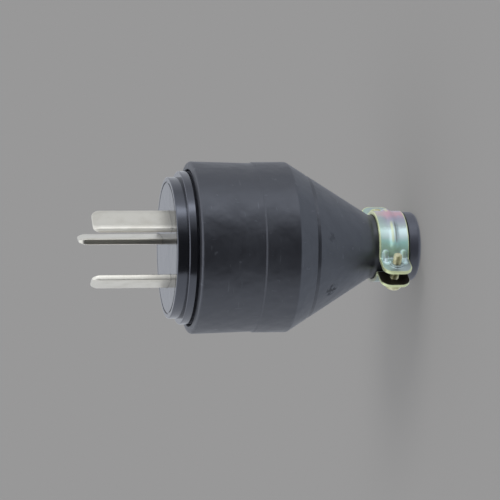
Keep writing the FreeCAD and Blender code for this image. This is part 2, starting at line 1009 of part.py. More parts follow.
def make_lock_washer(label):
    """A split spring washer, flat when it is tightened."""
    body = new_body(label)
    inner = size("clamp_thread_radius") + size("thread_clearance")
    outer = inner + size("lock_washer_width")
    sketch = new_sketch(body, "ring_outline", "XY_Plane", 0, 0)
    add_circle(sketch, outer)
    add_circle(sketch, inner)
    pad(body, "ring", sketch, size("lock_washer_thickness"))
    half = size("lock_washer_slit") / 2
    slit = outline(body, "slit_outline", rectangle(0, outer + half, -half, half))
    pocket(body, "slit", slit, size("lock_washer_thickness"), reverse=True)
    return body


def make_clamp_fasteners(name, side, end):
    """A screw and its lock washer through one pair of ears."""
    along = turned(size("clamp_angle"))
    across = FreeCAD.Rotation(FreeCAD.Vector(1, 0, 0), -90)
    rotation = along.multiply(across)
    reach = clamp_screw_reach() * side
    washer = make_lock_washer(f"{name}_lock_washer")
    bearing = -(ear_outer() + size("lock_washer_thickness"))
    x, y = clamp_point(reach, bearing)
    place(washer, x, y, -clamp_middle(), rotation)
    length = ear_outer() - bearing + size(end)
    screw = make_screw(
        f"{name}_clamp_screw", size("clamp_thread_radius"), length,
        size("clamp_head_radius"), size("clamp_head_height"),
    )
    place(screw, x, y, -clamp_middle(), rotation)
    return [washer, screw]


def make_barrier_screws():
    screws = []
    level = -(base_depth() + size("barrier_seat"))
    for index in range(BLADES):
        angle = barrier_screw_angle() + 360 * index / BLADES
        screw = make_screw(
            f"barrier_screw_{index + 1}", size("barrier_thread_radius"),
            size("barrier_screw_length"), size("barrier_head_radius"),
            size("barrier_head_height"),
        )
        radius = barrier_screw_radius()
        place(screw, radius * cosine(angle), radius * sine(angle), level, turned(angle))
        screws.append(screw)
    return screws


def make_plug():
    pieces = [make_rubber_boot(), make_blade_base(), make_terminal_barrier()]
    for name, pitch, angle, turn in terminals():
        length = size("earth_length") if name == "earth" else size("blade_length")
        pieces.append(make_blade(name, length, pitch, angle, turn))
        pieces.extend(make_terminal(name, pitch, angle, turn))
    pieces.extend(make_barrier_screws())
    pieces.append(make_clamp_half("tapped_clamp_half", True, 0))
    pieces.append(make_clamp_half("plain_clamp_half", False, 180))
    pieces.extend(make_clamp_fasteners("lower", 1, "lower_screw_end"))
    pieces.extend(make_clamp_fasteners("upper", -1, "upper_screw_end"))
    return pieces


def check_and_export(pieces):
    for item in doc.Objects:
        if "Invalid" in item.State or "Error" in item.State:
            raise RuntimeError(f"{item.Name} failed: {item.State}")
    for piece in pieces:
        shape = piece.Shape
        if shape.isNull() or not shape.isValid() or len(shape.Solids) != 1:
            raise RuntimeError(f"{piece.Label} is not one valid solid")
    for piece in pieces:
        piece.Shape.exportStep(f"parts/{piece.Label}.step")
        box = piece.Shape.BoundBox
        corner = f"{box.XMin:.2f} {box.YMin:.2f} {box.ZMin:.2f}"
        print(f"{piece.Label}: {piece.Shape.Volume:.1f} mm3 from {corner}")


os.makedirs("parts", exist_ok=True)
doc = FreeCAD.newDocument("waterproof_plug")
write_sheet()
check_and_export(make_plug())
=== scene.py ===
import json
import math

import bmesh
import bpy
from mathutils import Matrix, Vector, noise


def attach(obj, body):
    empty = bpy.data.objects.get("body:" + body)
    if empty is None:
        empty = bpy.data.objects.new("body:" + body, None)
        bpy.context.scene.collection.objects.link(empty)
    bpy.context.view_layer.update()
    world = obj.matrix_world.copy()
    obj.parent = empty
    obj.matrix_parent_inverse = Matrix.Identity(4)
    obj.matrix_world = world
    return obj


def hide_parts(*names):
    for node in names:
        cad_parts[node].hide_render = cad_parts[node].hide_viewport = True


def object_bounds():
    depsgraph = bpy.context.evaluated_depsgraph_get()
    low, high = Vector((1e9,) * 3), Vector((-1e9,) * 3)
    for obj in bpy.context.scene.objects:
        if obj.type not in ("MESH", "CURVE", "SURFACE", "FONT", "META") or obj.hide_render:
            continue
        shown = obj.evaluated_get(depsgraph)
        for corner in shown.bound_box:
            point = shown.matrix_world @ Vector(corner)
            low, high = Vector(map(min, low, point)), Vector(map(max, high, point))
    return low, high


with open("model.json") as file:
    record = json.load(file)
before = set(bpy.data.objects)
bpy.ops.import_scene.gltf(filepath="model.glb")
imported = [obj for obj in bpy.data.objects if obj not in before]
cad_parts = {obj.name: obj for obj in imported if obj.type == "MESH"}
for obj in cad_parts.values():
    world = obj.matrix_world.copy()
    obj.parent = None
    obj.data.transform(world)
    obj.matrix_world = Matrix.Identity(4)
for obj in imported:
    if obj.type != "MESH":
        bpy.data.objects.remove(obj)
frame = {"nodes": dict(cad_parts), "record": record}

bl_info = {
    "name": "Waterproof plug",
    "version": (1, 0, 0),
    "blender": (4, 5, 0),
    "location": "View3D > Sidebar > Plug",
    "description": "Builds the plug's rubber, moulded, plated and pressed pieces and its studio",
    "category": "Object",
}

CAD_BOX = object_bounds()
MM = 0.001
BODY = "root"
BLACK = (0.0, 0.0, 0.0)
FULL_TURN = 2 * math.pi

# How finely the pieces are cut: points round a turn, and steps along a straight or bent run.
BOOT_POINTS = 224
BOOT_STEP = 0.8 * MM
HOLE_POINTS = 56
BLADE_HOLE_POINTS = 48
SCREW_POINTS = 48
THREAD_POINTS = 40
WASHER_POINTS = 72
BLADE_STEP = 1.0 * MM
BLADE_ACROSS = 8
CLAMP_STEP = 0.2 * MM
CLAMP_ACROSS = 56
ROUND_STEP = math.radians(9)
# How many sections lie in the rounded edge and in the rounded corner of a strip's end.
EDGE_CUTS = 5
CORNER_CUTS = 12
# An arc takes at most this share of the runs on both sides of its corner.
ARC_SHARE = 0.48
# A straight run has a point this close to both ends, so that it shades flat.
GUARD = 0.06 * MM
SHARP_EDGE = math.radians(35)
# Points of a line, and of a mesh, that are closer than this are one.
SAME_POINT = 1e-6
WELD = 1e-7


def length(name, description, millimetres):
    return bpy.props.FloatProperty(
        name=name, description=description, default=millimetres * MM, unit="LENGTH", precision=5
    )


def angle(name, description, degrees):
    return bpy.props.FloatProperty(
        name=name, description=description, default=math.radians(degrees), subtype="ANGLE"
    )


def amount(name, description, value):
    return bpy.props.FloatProperty(name=name, description=description, default=value)


def colour(name, description, red, green, blue):
    return bpy.props.FloatVectorProperty(
        name=name, description=description, default=(red, green, blue), subtype="COLOR", size=3
    )


class StudioSettings(bpy.types.PropertyGroup):
    """The camera, the floor and the light."""

    azimuth: angle("Azimuth", "Round the plug from the side away from the earth blade", 11.69)
    elevation: angle("Elevation", "Above the level of the floor", 11.09)
    twist: angle("Twist", "Turn about the line of sight, once the plug lies across the view", -0.41)
    distance: length("Distance", "From the plug to the camera", 438.94)
    aim_depth: length("Aim depth", "Below the mating face", 19.36)
    rise: length("Rise", "How far the camera sits above the plug's axis in the view", -0.62)
    lens: amount("Lens", "Focal length in millimetres", 137.45)
    floor_half: length("Floor half width", "From the plug to the floor's edge", 4000.0)
    floor_colour: colour("Floor", "Grey of the floor", 0.122, 0.117, 0.111)
    floor_glow: colour("Floor glow", "Grey that only the camera sees", 0.157, 0.157, 0.157)
    backdrop: colour("Backdrop", "Grey that the camera sees past the floor", 0.314, 0.314, 0.314)
    light_tint: colour("Light", "Tint of the studio light", 0.96, 1.0, 1.08)
    sun_strength: amount("Sun", "Strength of the lamp that casts the soft shadow", 1.1)
    sun_width: angle("Sun width", "Apparent width of that lamp", 26.0)


class BootSizes(bpy.types.PropertyGroup):
    """The moulded rubber boot, measured down from the mating face."""

    mouth_depth: length("Mouth depth", "Down to the open end", 4.75)
    mouth_radius: length("Mouth radius", "Radius of the opening round the base", 17.8)
    mouth_round: length("Mouth round", "Round of the lip's inner edge", 0.3)
    rim_radius: length("Rim radius", "Radius at the open end", 19.73)
    rim_depth: length("Rim depth", "Down to the rim's corner", 5.0)
    rim_round: length("Rim round", "Round of the rim's corner", 0.65)
    waist_radius: length("Waist radius", "Radius at the end of the front sleeve", 19.35)
    band_depth: length("Band depth", "Down to the small step in the sleeve", 19.25)
    band_step: length("Band step", "Height of the small step", 0.22)
    band_ramp: length("Band ramp", "Length of the small step's slope", 0.396)
    band_round: length("Band round", "Round of the small step's corners", 0.099)
    shoulder_radius: length("Shoulder radius", "Radius at the start of the cone", 19.63)
    shoulder_depth: length("Shoulder depth", "Down to the start of the cone", 27.2)
    shoulder_round: length("Shoulder round", "Round of the shoulder", 0.7)
    groove_depth: length("Groove depth", "Down to the ring-shaped groove", 31.98)
    groove_width: length("Groove width", "Width of the groove", 0.95)
    groove_wall: length("Groove wall", "Width of its steep front wall", 0.12)
    groove_cut: length("Groove cut", "How deep the front wall goes into the cone", 0.50)
    neck_radius: length("Neck radius", "Radius of the neck under the clamp", 7.4)
    cone_end: length("Cone end", "Down to the end of the cone", 47.1)
    cone_end_round: length("Cone end round", "Round between the cone and the neck", 1.6)
    collar_radius: length("Collar radius", "Radius of the collar at the cable end", 8.05)
    collar_depth: length("Collar depth", "Down to the collar", 55.2)
    end_depth: length("End depth", "Down to the cable end", 58.0)
    collar_round: length("Collar round", "Round of the collar's end", 1.0)
    bore_radius: length("Bore radius", "Radius of the cable bore", 4.4)
    bore_top: length("Bore top", "Down to the inner end of the bore", 44.5)
    cavity_radius: length("Cavity radius", "Radius of the space behind the base", 16.9)
    cavity_depth: length("Cavity depth", "Down to the end of that space", 24.5)
    seat_radius: length("Seat radius", "Radius of the groove that holds the base", 18.4)
    seat_front: length("Seat front", "Down to the front of that groove", 7.3)
    seat_rear: length("Seat rear", "Down to the rear of that groove", 9.3)
    edge_round: length("Edge round", "Round of the boot's other corners", 0.25)
    unevenness: length("Unevenness", "How far the moulded skin wanders", 0.03)
    unevenness_size: length("Unevenness size", "Width of one swell of the skin", 5.0)


class BladeSizes(bpy.types.PropertyGroup):
    """The flat blades with their folded feet."""

    width: length("Width", "Across the flat side", 6.35)
    thickness: length("Thickness", "Between the flat sides", 1.6)
    live_length: length("Live length", "Live and neutral, from the mating face", 17.6)
    earth_length: length("Earth length", "Earth, from the mating face", 19.2)
    pitch_radius: length("Pitch radius", "Live and neutral, from the axis", 7.92)
    earth_radius: length("Earth radius", "Earth, from the axis", 10.31)
    blade_angle: angle("Blade angle", "Turn of live and neutral", 30.0)
    tip_round: length("Tip round", "Round of the corners at the tip", 1.4)
    taper_length: length("Taper length", "Length of the thinned tip", 1.5)
    taper_inset: length("Taper inset", "Taken off each flat side at the tip", 0.4)
    edge_round: length("Edge round", "Round of the stamped edges", 0.16)
    edge_lean: angle("Edge lean", "Lean of the sheared edges", 8.0)
    bevel_width: length("Bevel width", "Width of the sloped border of the flat sides", 0.5)
    bevel_fall: length("Bevel fall", "How far that border falls", 0.14)
    foot_reach: length("Foot reach", "From the blade's middle to the foot's end", 7.4)
    foot_level: length("Foot level", "Down to the middle of the foot", 13.8)
    fold_radius: length("Fold radius", "Radius of the fold's middle line", 0.9)
    hole_reach: length("Hole reach", "From the blade's middle to the screw hole", 3.9)
    hole_radius: length("Hole radius", "Radius of the screw hole", 1.55)


class ClampSizes(bpy.types.PropertyGroup):
    """The pressed steel clamp round the neck."""

    width: length("Width", "Along the neck", 6.9)
    sheet: length("Sheet", "Thickness of the steel", 0.8)
    band_radius: length("Band radius", "Inner radius of the bands", 7.45)
    level: length("Level", "Middle of the clamp, down from the mating face", 51.5)
    clamp_angle: angle("Clamp angle", "Direction of the lower ears", -113.0)
    ear_gap: length("Ear gap", "Between two facing ears", 2.8)
    ear_reach: length("Ear reach", "From the axis to the ear's end", 13.4)
    ear_round: length("Ear round", "Round of the ear's corners", 2.3)
    bend_round: length("Bend round", "Outer round between band and ear", 0.7)
    edge_round: length("Edge round", "Round of the sheared edges", 0.16)
    rib_width: length("Rib width", "Width of the raised rib", 2.0)
    rib_height: length("Rib height", "Height of the raised rib", 0.5)
    rib_start: angle("Rib start", "Where the rib begins, from the split", 37.0)
    gusset_offset: length("Gusset offset", "From the middle of the band", 2.1)
    gusset_radius: length("Gusset radius", "Radius of a pressed gusset", 0.68)
    gusset_length: length("Gusset length", "Between the ends of a gusset", 2.2)
    gusset_rise: length("Gusset rise", "How far a gusset stands out of its corner", 0.55)
    gusset_angle: angle("Gusset angle", "Slope of a gusset", 42.0)
    hole_reach: length("Hole reach", "From the axis to the screw holes", 10.4)
    hole_radius: length("Hole radius", "Radius of the screw holes", 1.05)
    collar_radius: length("Collar radius", "Radius of the drawn collars", 1.65)
    collar_height: length("Collar height", "Height of the drawn collars", 0.5)
    collar_edge: length("Collar edge", "Round of a drawn collar's rim", 0.15)
    collar_foot: length("Collar foot", "Width of the slope round a drawn collar", 0.25)
    collar_sink: length("Collar sink", "How deep a drawn collar is set into its ear", 0.3)


class ScrewSizes(bpy.types.PropertyGroup):
    """The screws and the split washers."""

    clamp_radius: length("Clamp screw radius", "Over the thread", 1.0)
    clamp_head: length("Clamp screw head", "Radius of the head", 1.95)
    clamp_head_height: length("Clamp head height", "Height of the head", 1.4)
    clamp_pitch: length("Clamp screw pitch", "Rise of one turn", 0.4)
    clamp_thread: length("Clamp screw thread", "Depth of the thread", 0.168)
    head_round: length("Head round", "Round of the head's slotted side", 0.77)
    end_round: length("End round", "Round of the screw's end", 0.208)
    bare_end: length("Bare end", "Length of the end that has no thread", 0.24)
    lower_end: length("Lower end", "How far the lower screw stands out", 2.7)
    upper_end: length("Upper end", "How far the upper screw stands out", 1.0)
    washer_inner: length("Washer inner", "Inner radius of a split washer", 1.05)
    washer_outer: length("Washer outer", "Outer radius of a split washer", 1.8)
    washer_thickness: length("Washer thickness", "Thickness of a split washer", 0.5)
    washer_gap: length("Washer gap", "Width of the split", 0.35)
    washer_spring: length("Washer spring", "Rise of a split washer's turn", 0.03)
    slot_width: length("Slot width", "Width of the driver slot", 0.7)
    slot_depth: length("Slot depth", "Depth of the driver slot", 0.9)
    edge_round: length("Edge round", "Round of the screws' and washers' edges", 0.08)


class TintReaches(bpy.types.PropertyGroup):
    """How far the tints, the painted light and shade, and the dull places reach on the pieces."""

    # The rubber's painted light fades in over this reach round the collar's start.
    collar_light_fade: length("Chalk fade", "To both sides of where the rubber turns chalky", 0.5)
    # The lip's ring is painted shade inside the boot's mouth, and it is also dull.
    lip_width: length("Lip width", "Dull ring inside the boot's mouth", 0.35)
    lip_fade: length("Lip fade", "Softness of that ring", 0.20)
    # This part of the base is painted as dark as the rubber, as shade, and is also dull.
    gap_length: length("Gap length", "Dull part of the base, in front of the boot's mouth", 0.53)
    gap_fade: length("Gap fade", "Softness of its front end", 0.10)
    # The rib's yellow line is a painted highlight and its dark line is painted shade.
    flank_offset: length("Flank offset", "From the rib's middle to the middle of its flanks", 0.38)
    front_flank: length("Front flank", "Half width of the yellow line on the rib", 0.40)
    front_fade: length("Front fade", "Softness of the yellow line", 0.25)
    rear_flank: length("Rear flank", "Half width of the dark line on the rib", 0.30)
    rear_fade: length("Rear fade", "Softness of the dark line", 0.20)
    # A gusset's pale lower end is a painted highlight.
    gusset_low: length("Gusset low end", "Down a gusset, to where its lower end turns pale", 0.5)
    gusset_fade: length("Gusset fade", "Softness of the pale end", 0.4)
    # The yellow round the upper collar is a painted highlight.
    collar_highlight_width: length("Collar tint", "How far the yellow spreads round a drawn collar", 0.3)
    collar_fade: length("Collar fade", "Softness of that yellow", 0.4)
    # The yellow at the sheared edges is a painted highlight.
    rim_highlight_width: length("Rim tint", "Width of the yellow at the sheared edges", 0.50)
    rim_fade: length("Rim fade", "Softness of that yellow", 0.30)
    rim_wander: length("Rim wander", "How far its border wanders", 0.20)
    # These soften the painted shade on the plain half's lower side and between the halves.
    painted_shade_fade: length("Soil fade", "Softness of the plain half's soiled part", 0.10)
    inner_fade: length("Inner fade", "Softness of the soiled faces between the halves", 0.15)
    lean: length("Lean", "How far the steel's reflections lean, over half a turn", 2.6)


class FinishColours(bpy.types.PropertyGroup):
    """The colours of the plug's finishes."""

    rubber_dark: colour("Rubber, dark", "Clean rubber", 0.0080, 0.0076, 0.0095)
    rubber_pale: colour("Rubber, pale", "Rubber with a light bloom", 0.0145, 0.0145, 0.017)
    # Painted light: lighter, bluer rubber from the collar to the cable end, standing in for a brighter
    # reflection there.
    rubber_painted_light: colour("Rubber, chalky", "Dulled rubber at the cable end", 0.042, 0.043, 0.056)
    # Painted shade: near-black, laid in the nicks' bottoms and inside the boot's mouth.
    rubber_painted_shade: colour("Rubber, nicked", "Bottom of the nicks in the rubber", 0.002, 0.002, 0.003)
    scuff: colour("Scuffs", "Fine scuffs in the rubber", 0.085, 0.09, 0.10)
    moulding_dark: colour("Moulding, dark", "Glossy base", 0.0055, 0.0053, 0.0065)
    moulding_pale: colour("Moulding, pale", "Glossy base where it is handled", 0.0105, 0.0105, 0.0125)
    nickel: colour("Nickel", "Plating of the blades", 0.70, 0.67, 0.59)
    nickel_worn: colour("Nickel, worn", "Plating where it has rubbed", 0.62, 0.59, 0.51)
    zinc_pink: colour("Zinc, pink", "Pink tint of the passivated steel", 0.62, 0.37, 0.43)
    zinc_lilac: colour("Zinc, lilac", "Lilac tint of the passivated steel", 0.42, 0.41, 0.50)
    # Painted highlight: the palest tint, laid across the band, round the gussets and on their lower
    # ends.
    zinc_painted_highlight: colour("Zinc, pale", "Palest tint of the passivated steel", 0.78, 0.96, 0.95)
    zinc_grey: colour("Zinc, grey", "Greyish tint of the passivated steel", 0.45, 0.53, 0.52)
    zinc_teal: colour("Zinc, teal", "Teal tint of the passivated steel", 0.54, 0.90, 0.82)
    zinc_green: colour("Zinc, green", "Green tint of the passivated steel", 0.52, 0.76, 0.58)
    # Painted highlight in the film's yellow, on the edges, the rib and the upper collar.
    zinc_yellow_highlight: colour("Zinc, yellow", "Yellow tint of its edges", 0.78, 0.83, 0.44)
    # Painted shade: on the rib's rear flank, the gussets' crests, the plain half's lower side and
    # between the halves.
    zinc_painted_shade: colour("Zinc, inner", "Soiled faces between the clamp halves", 0.07, 0.06, 0.045)
    screw_olive: colour("Screw, olive", "Olive tint of the screws", 0.45, 0.43, 0.22)
    screw_straw: colour("Screw, straw", "Straw tint of the screws", 0.75, 0.72, 0.48)
    brass: colour("Brass", "Turned brass", 0.80, 0.60, 0.28)
    brass_dull: colour("Brass, dull", "Brass that has dulled", 0.52, 0.38, 0.18)
    inner_dark: colour("Inner moulding, dark", "Matt barrier", 0.030, 0.026, 0.024)
    inner_pale: colour("Inner moulding, pale", "Matt barrier, filler showing", 0.055, 0.048, 0.044)


SETTINGS = {
    "plug_studio": StudioSettings,
    "plug_boot": BootSizes,
    "plug_blades": BladeSizes,
    "plug_clamp": ClampSizes,
    "plug_screws": ScrewSizes,
    "plug_tints": TintReaches,
    "plug_colours": FinishColours,
}


# Materials


class Nodes:
    """A node tree, filled node by node."""

    def __init__(self, tree):
        self.tree = tree

    def node(self, kind, settings=None, values=None):
        """Add a node: its settings first, then the values or links of its sockets."""
        made = self.tree.nodes.new(kind)
        for name, setting in (settings or {}).items():
            if name == "stops":
                self.set_stops(made.color_ramp.elements, setting)
            else:
                setattr(made, name, setting)
        for key, value in (values or {}).items():
            self.feed(made.inputs[key], value)
        return made

    def set_stops(self, elements, stops):
        while len(elements) < len(stops):
            elements.new(1.0)
        for element, (place, tint) in zip(elements, stops):
            element.position = place
            element.color = (*tint, 1.0)

    def feed(self, socket, value):
        """Link a socket to what feeds it, or set its own value."""
        if isinstance(value, Value):
            value = value.socket
        if isinstance(value, bpy.types.NodeSocket):
            self.tree.links.new(value, socket)
        elif socket.type == "RGBA":
            socket.default_value = (*value[:3], 1.0)
        else:
            socket.default_value = value


class Value:
    """A number in a node tree. Arithmetic on it adds the tree's Math nodes."""

    def __init__(self, nodes, socket):
        self.nodes = nodes
        self.socket = socket

    def math(self, operation, *operands):
        node = self.nodes.node("ShaderNodeMath", {"operation": operation}, dict(enumerate(operands)))
        return Value(self.nodes, node.outputs[0])

    def __add__(self, other):
        return self.math("ADD", self, other)

    def __sub__(self, other):
        return self.math("SUBTRACT", self, other)

    def __rsub__(self, other):
        return self.math("SUBTRACT", other, self)

    def __mul__(self, other):
        return self.math("MULTIPLY", self, other)

    def __truediv__(self, other):
        return self.math("DIVIDE", self, other)

    def __rtruediv__(self, other):
        return self.math("DIVIDE", other, self)

    def __neg__(self):
        return self.math("MULTIPLY", self, -1.0)

    def __abs__(self):
        return self.math("ABSOLUTE", self)

    def above_zero(self):
        return self.math("MAXIMUM", self, 0.0)

    __radd__ = __add__
    __rmul__ = __mul__


def distance(first, *others):
    """The length of the arrow with these parts."""
    squares = first * first
    for part in others:
        squares = squares + part * part
    return squares.math("SQRT", squares)


# The sockets of a Mix node that are for colours: share, first, second and result.
MIX_INPUTS = (0, 6, 7)
MIX_RESULT = 2


class Shades(Nodes):
    """A node tree that gives a colour, a roughness and a relief."""

    def __init__(self, tree):
        super().__init__(tree)
        self.tree.nodes.clear()

    def split(self, vector):
        node = self.node("ShaderNodeSeparateXYZ", None, {0: vector})
        return [Value(self, socket) for socket in node.outputs]

    def mapped(self, place, location=(0, 0, 0), turn=(0, 0, 0), scale=(1, 1, 1)):
        values = {"Vector": place, "Location": location, "Rotation": turn, "Scale": scale}
        return self.node("ShaderNodeMapping", None, values).outputs[0]

    def between(self, value, low, high):
        """A smooth rise from 0 at the low value to 1 at the high value."""
        values = {"Value": value, "From Min": low, "From Max": high}
        node = self.node("ShaderNodeMapRange", {"interpolation_type": "SMOOTHSTEP"}, values)
        return Value(self, node.outputs[0])

    def within(self, value, reach, fade):
        """1 well inside the reach, falling smoothly to 0 at it."""
        return self.between(value, reach, reach - fade)

    def blend(self, share, first, second, way="MIX"):
        """A mix of two colours, or another way to join them."""
        settings = {"data_type": "RGBA", "blend_type": way}
        node = self.node("ShaderNodeMix", settings, dict(zip(MIX_INPUTS, (share, first, second))))
        return node.outputs[MIX_RESULT]

    def ramp(self, value, stops):
        """A colour that changes with the value, from stops (value, colour)."""
        return self.node("ShaderNodeValToRGB", {"stops": stops}, {0: value}).outputs[0]

    def relief(self, height, strength, depth, below=None):
        """A bump of this depth, laid over the one below."""
        values = {"Height": height, "Strength": strength, "Distance": depth}
        if below:
            values["Normal"] = below
        return self.node("ShaderNodeBump", None, values).outputs[0]


class Finish(Shades):
    """A material with one surface shader."""

    def __init__(self, name):
        self.material = bpy.data.materials.new(name)
        self.material.use_nodes = True
        super().__init__(self.material.node_tree)
        output = self.node("ShaderNodeOutputMaterial")
        self.surface = self.node("ShaderNodeBsdfPrincipled")
        self.tree.links.new(self.surface.outputs[0], output.inputs["Surface"])
        self.place = self.node("ShaderNodeTexCoord").outputs["Object"]
        self.tint = None

    def noise(self, scale, detail=3.0, roughness=0.5, place=None):
        """Noise in the object's space. The scale is about its swells in a metre."""
        node = self.node("ShaderNodeTexNoise", None, {
            "Vector": place or self.place, "Scale": scale, "Detail": detail, "Roughness": roughness})
        return Value(self, node.outputs[0])

    def stretched(self, scale, detail=3.0, turn=(0, 0, 0)):
        """Noise with a scale of its own along each axis."""
        return self.noise(1.0, detail, place=self.mapped(self.place, turn=turn, scale=scale))

    def paint(self, share, colour):
        """Lay a colour over the tint so far."""
        self.tint = self.blend(share, self.tint, colour)

    def set(self, values):
        for name, value in values.items():
            self.feed(self.surface.inputs[name], value)
        return self.material


def scratches(finish, scale, turn, edge):
    """Thin short lines: the crest of a noise that is stretched along one direction."""
    streaks = finish.stretched(scale, detail=2.0, turn=turn)
    return finish.between(streaks, edge, edge + 0.03)


# Two patches where the cone's skin is nicked: place and radius in millimetres, and strength.
NICKS = [
    ((-7.5, -12.3, -36.1), 2.1, 1.0),
    ((5.0, -14.0, -35.2), 1.3, 0.5),
]


def nicked(finish):
    """Small ragged nicks that lie close together in each patch."""
    ragged = finish.noise(1100.0, detail=2.0)
    patches = 0.0
    for centre, radius, strength in NICKS:
        away = [-value * MM for value in centre]
        off = distance(*finish.split(finish.mapped(finish.place, location=away)))
        patches = finish.within(off, radius * MM, radius * MM / 2) * strength + patches
    return patches * finish.between(ragged, 0.46, 0.51)


def rubber_finish(colours):
    """Moulded rubber with a light bloom, scuffed and nicked, with painted shade in the nicks and inside
    the mouth, and painted light from the collar to the cable end.
    """
    finish = Finish("boot_rubber_finish")
    boot = bpy.context.scene.plug_boot
    reaches = bpy.context.scene.plug_tints
    cloud = finish.noise(75.0, detail=4.0, roughness=0.6)
    spots = finish.noise(420.0)
    grain = finish.noise(3200.0, detail=2.0)
    swell = finish.noise(210.0, detail=2.0)
    marks = scratches(finish, (260.0, 260.0, 1900.0), (0.5, 0.3, 0.2), 0.70)
    marks = marks + scratches(finish, (1500.0, 300.0, 300.0), (0.1, 0.5, 0.7), 0.715)
    chips = finish.between(spots, 0.70, 0.74)
    nicks = nicked(finish)
    x, y, z = finish.split(finish.place)
    depth = -z
    collar = boot.collar_depth
    # Painted light: the rubber is painted lighter from the collar to the cable end.
    collar_painted_light = finish.between(depth, collar - reaches.collar_light_fade, collar + reaches.collar_light_fade)
    # Painted shade: a near-black, dull ring just inside the boot's mouth.
    lip_shade = finish.within(distance(x, y), boot.mouth_radius + reaches.lip_width, reaches.lip_fade)
    lip_shade = lip_shade * finish.within(depth, boot.seat_front + MM, MM)
    finish.tint = finish.blend(
        finish.between(cloud, 0.35, 0.7), colours.rubber_dark, colours.rubber_pale)
    finish.paint(marks * 0.35 + chips * 0.45, colours.scuff)
    finish.paint(collar_painted_light, colours.rubber_painted_light)
    finish.paint(lip_shade, colours.rubber_painted_shade)
    # The nicks are real marks with their own bumps; their dark fill is painted shade.
    finish.paint(nicks * 0.8, colours.rubber_painted_shade)
    soft = finish.relief(swell - nicks * 0.6, strength=0.36, depth=0.8 * MM)
    return finish.set({
        "Base Color": finish.tint,
        "Roughness": cloud * 0.18 + spots * 0.12 + 0.32 + nicks * 0.3 + lip_shade * 0.4,
        "IOR": 1.6,
        "Specular IOR Level": 0.8,
        "Specular Tint": (0.94, 0.98, 1.08),
        "Normal": finish.relief(grain + marks * 0.4, strength=0.10, depth=0.06 * MM, below=soft),
    })


def moulding_finish(colours):
    """The glossy base, with painted shade and a dull finish where it lies deep in front of the boot's
    mouth.
    """
    finish = Finish("base_moulding_finish")
    boot = bpy.context.scene.plug_boot
    reaches = bpy.context.scene.plug_tints
    cloud = finish.noise(110.0, detail=4.0)
    swell = finish.noise(260.0, detail=2.0)
    grain = finish.noise(4200.0, detail=2.0)
    depth = -finish.split(finish.place)[2]
    # Painted shade: the base is painted as dark as the rubber, and dulled, where it lies deep in front
    # of the boot's mouth.
    front = boot.mouth_depth - reaches.gap_length
    gap_shade = finish.between(depth, front, front + reaches.gap_fade)
    finish.tint = finish.blend(cloud, colours.moulding_dark, colours.moulding_pale)
    finish.paint(gap_shade, colours.rubber_dark)
    soft = finish.relief(swell, strength=0.12, depth=0.4 * MM)
    return finish.set({
        "Base Color": finish.tint,
        "Roughness": cloud * 0.08 + grain * 0.05 + 0.10 + gap_shade * 0.7,
        "IOR": 1.6,
        "Specular IOR Level": 0.85,
        "Specular Tint": (0.94, 0.98, 1.11),
        "Normal": finish.relief(grain, strength=0.04, depth=0.04 * MM, below=soft),
    })


def plating_finish(colours):
    finish = Finish("blade_plating_finish")
    lines = finish.stretched((2600.0, 2600.0, 90.0))
    cloud = finish.noise(260.0, detail=4.0, roughness=0.6)
    pits = finish.between(finish.noise(1500.0, detail=2.0), 0.69, 0.76)
    worn = finish.between(cloud, 0.4, 0.75) + pits * 0.3
    return finish.set({
        "Base Color": finish.blend(worn, colours.nickel, colours.nickel_worn),
        "Metallic": 1.0,
        "Roughness": lines * 0.06 + cloud * 0.10 + 0.27,
        "Normal": finish.relief(lines - pits * 0.6, strength=0.05, depth=0.04 * MM),
    })


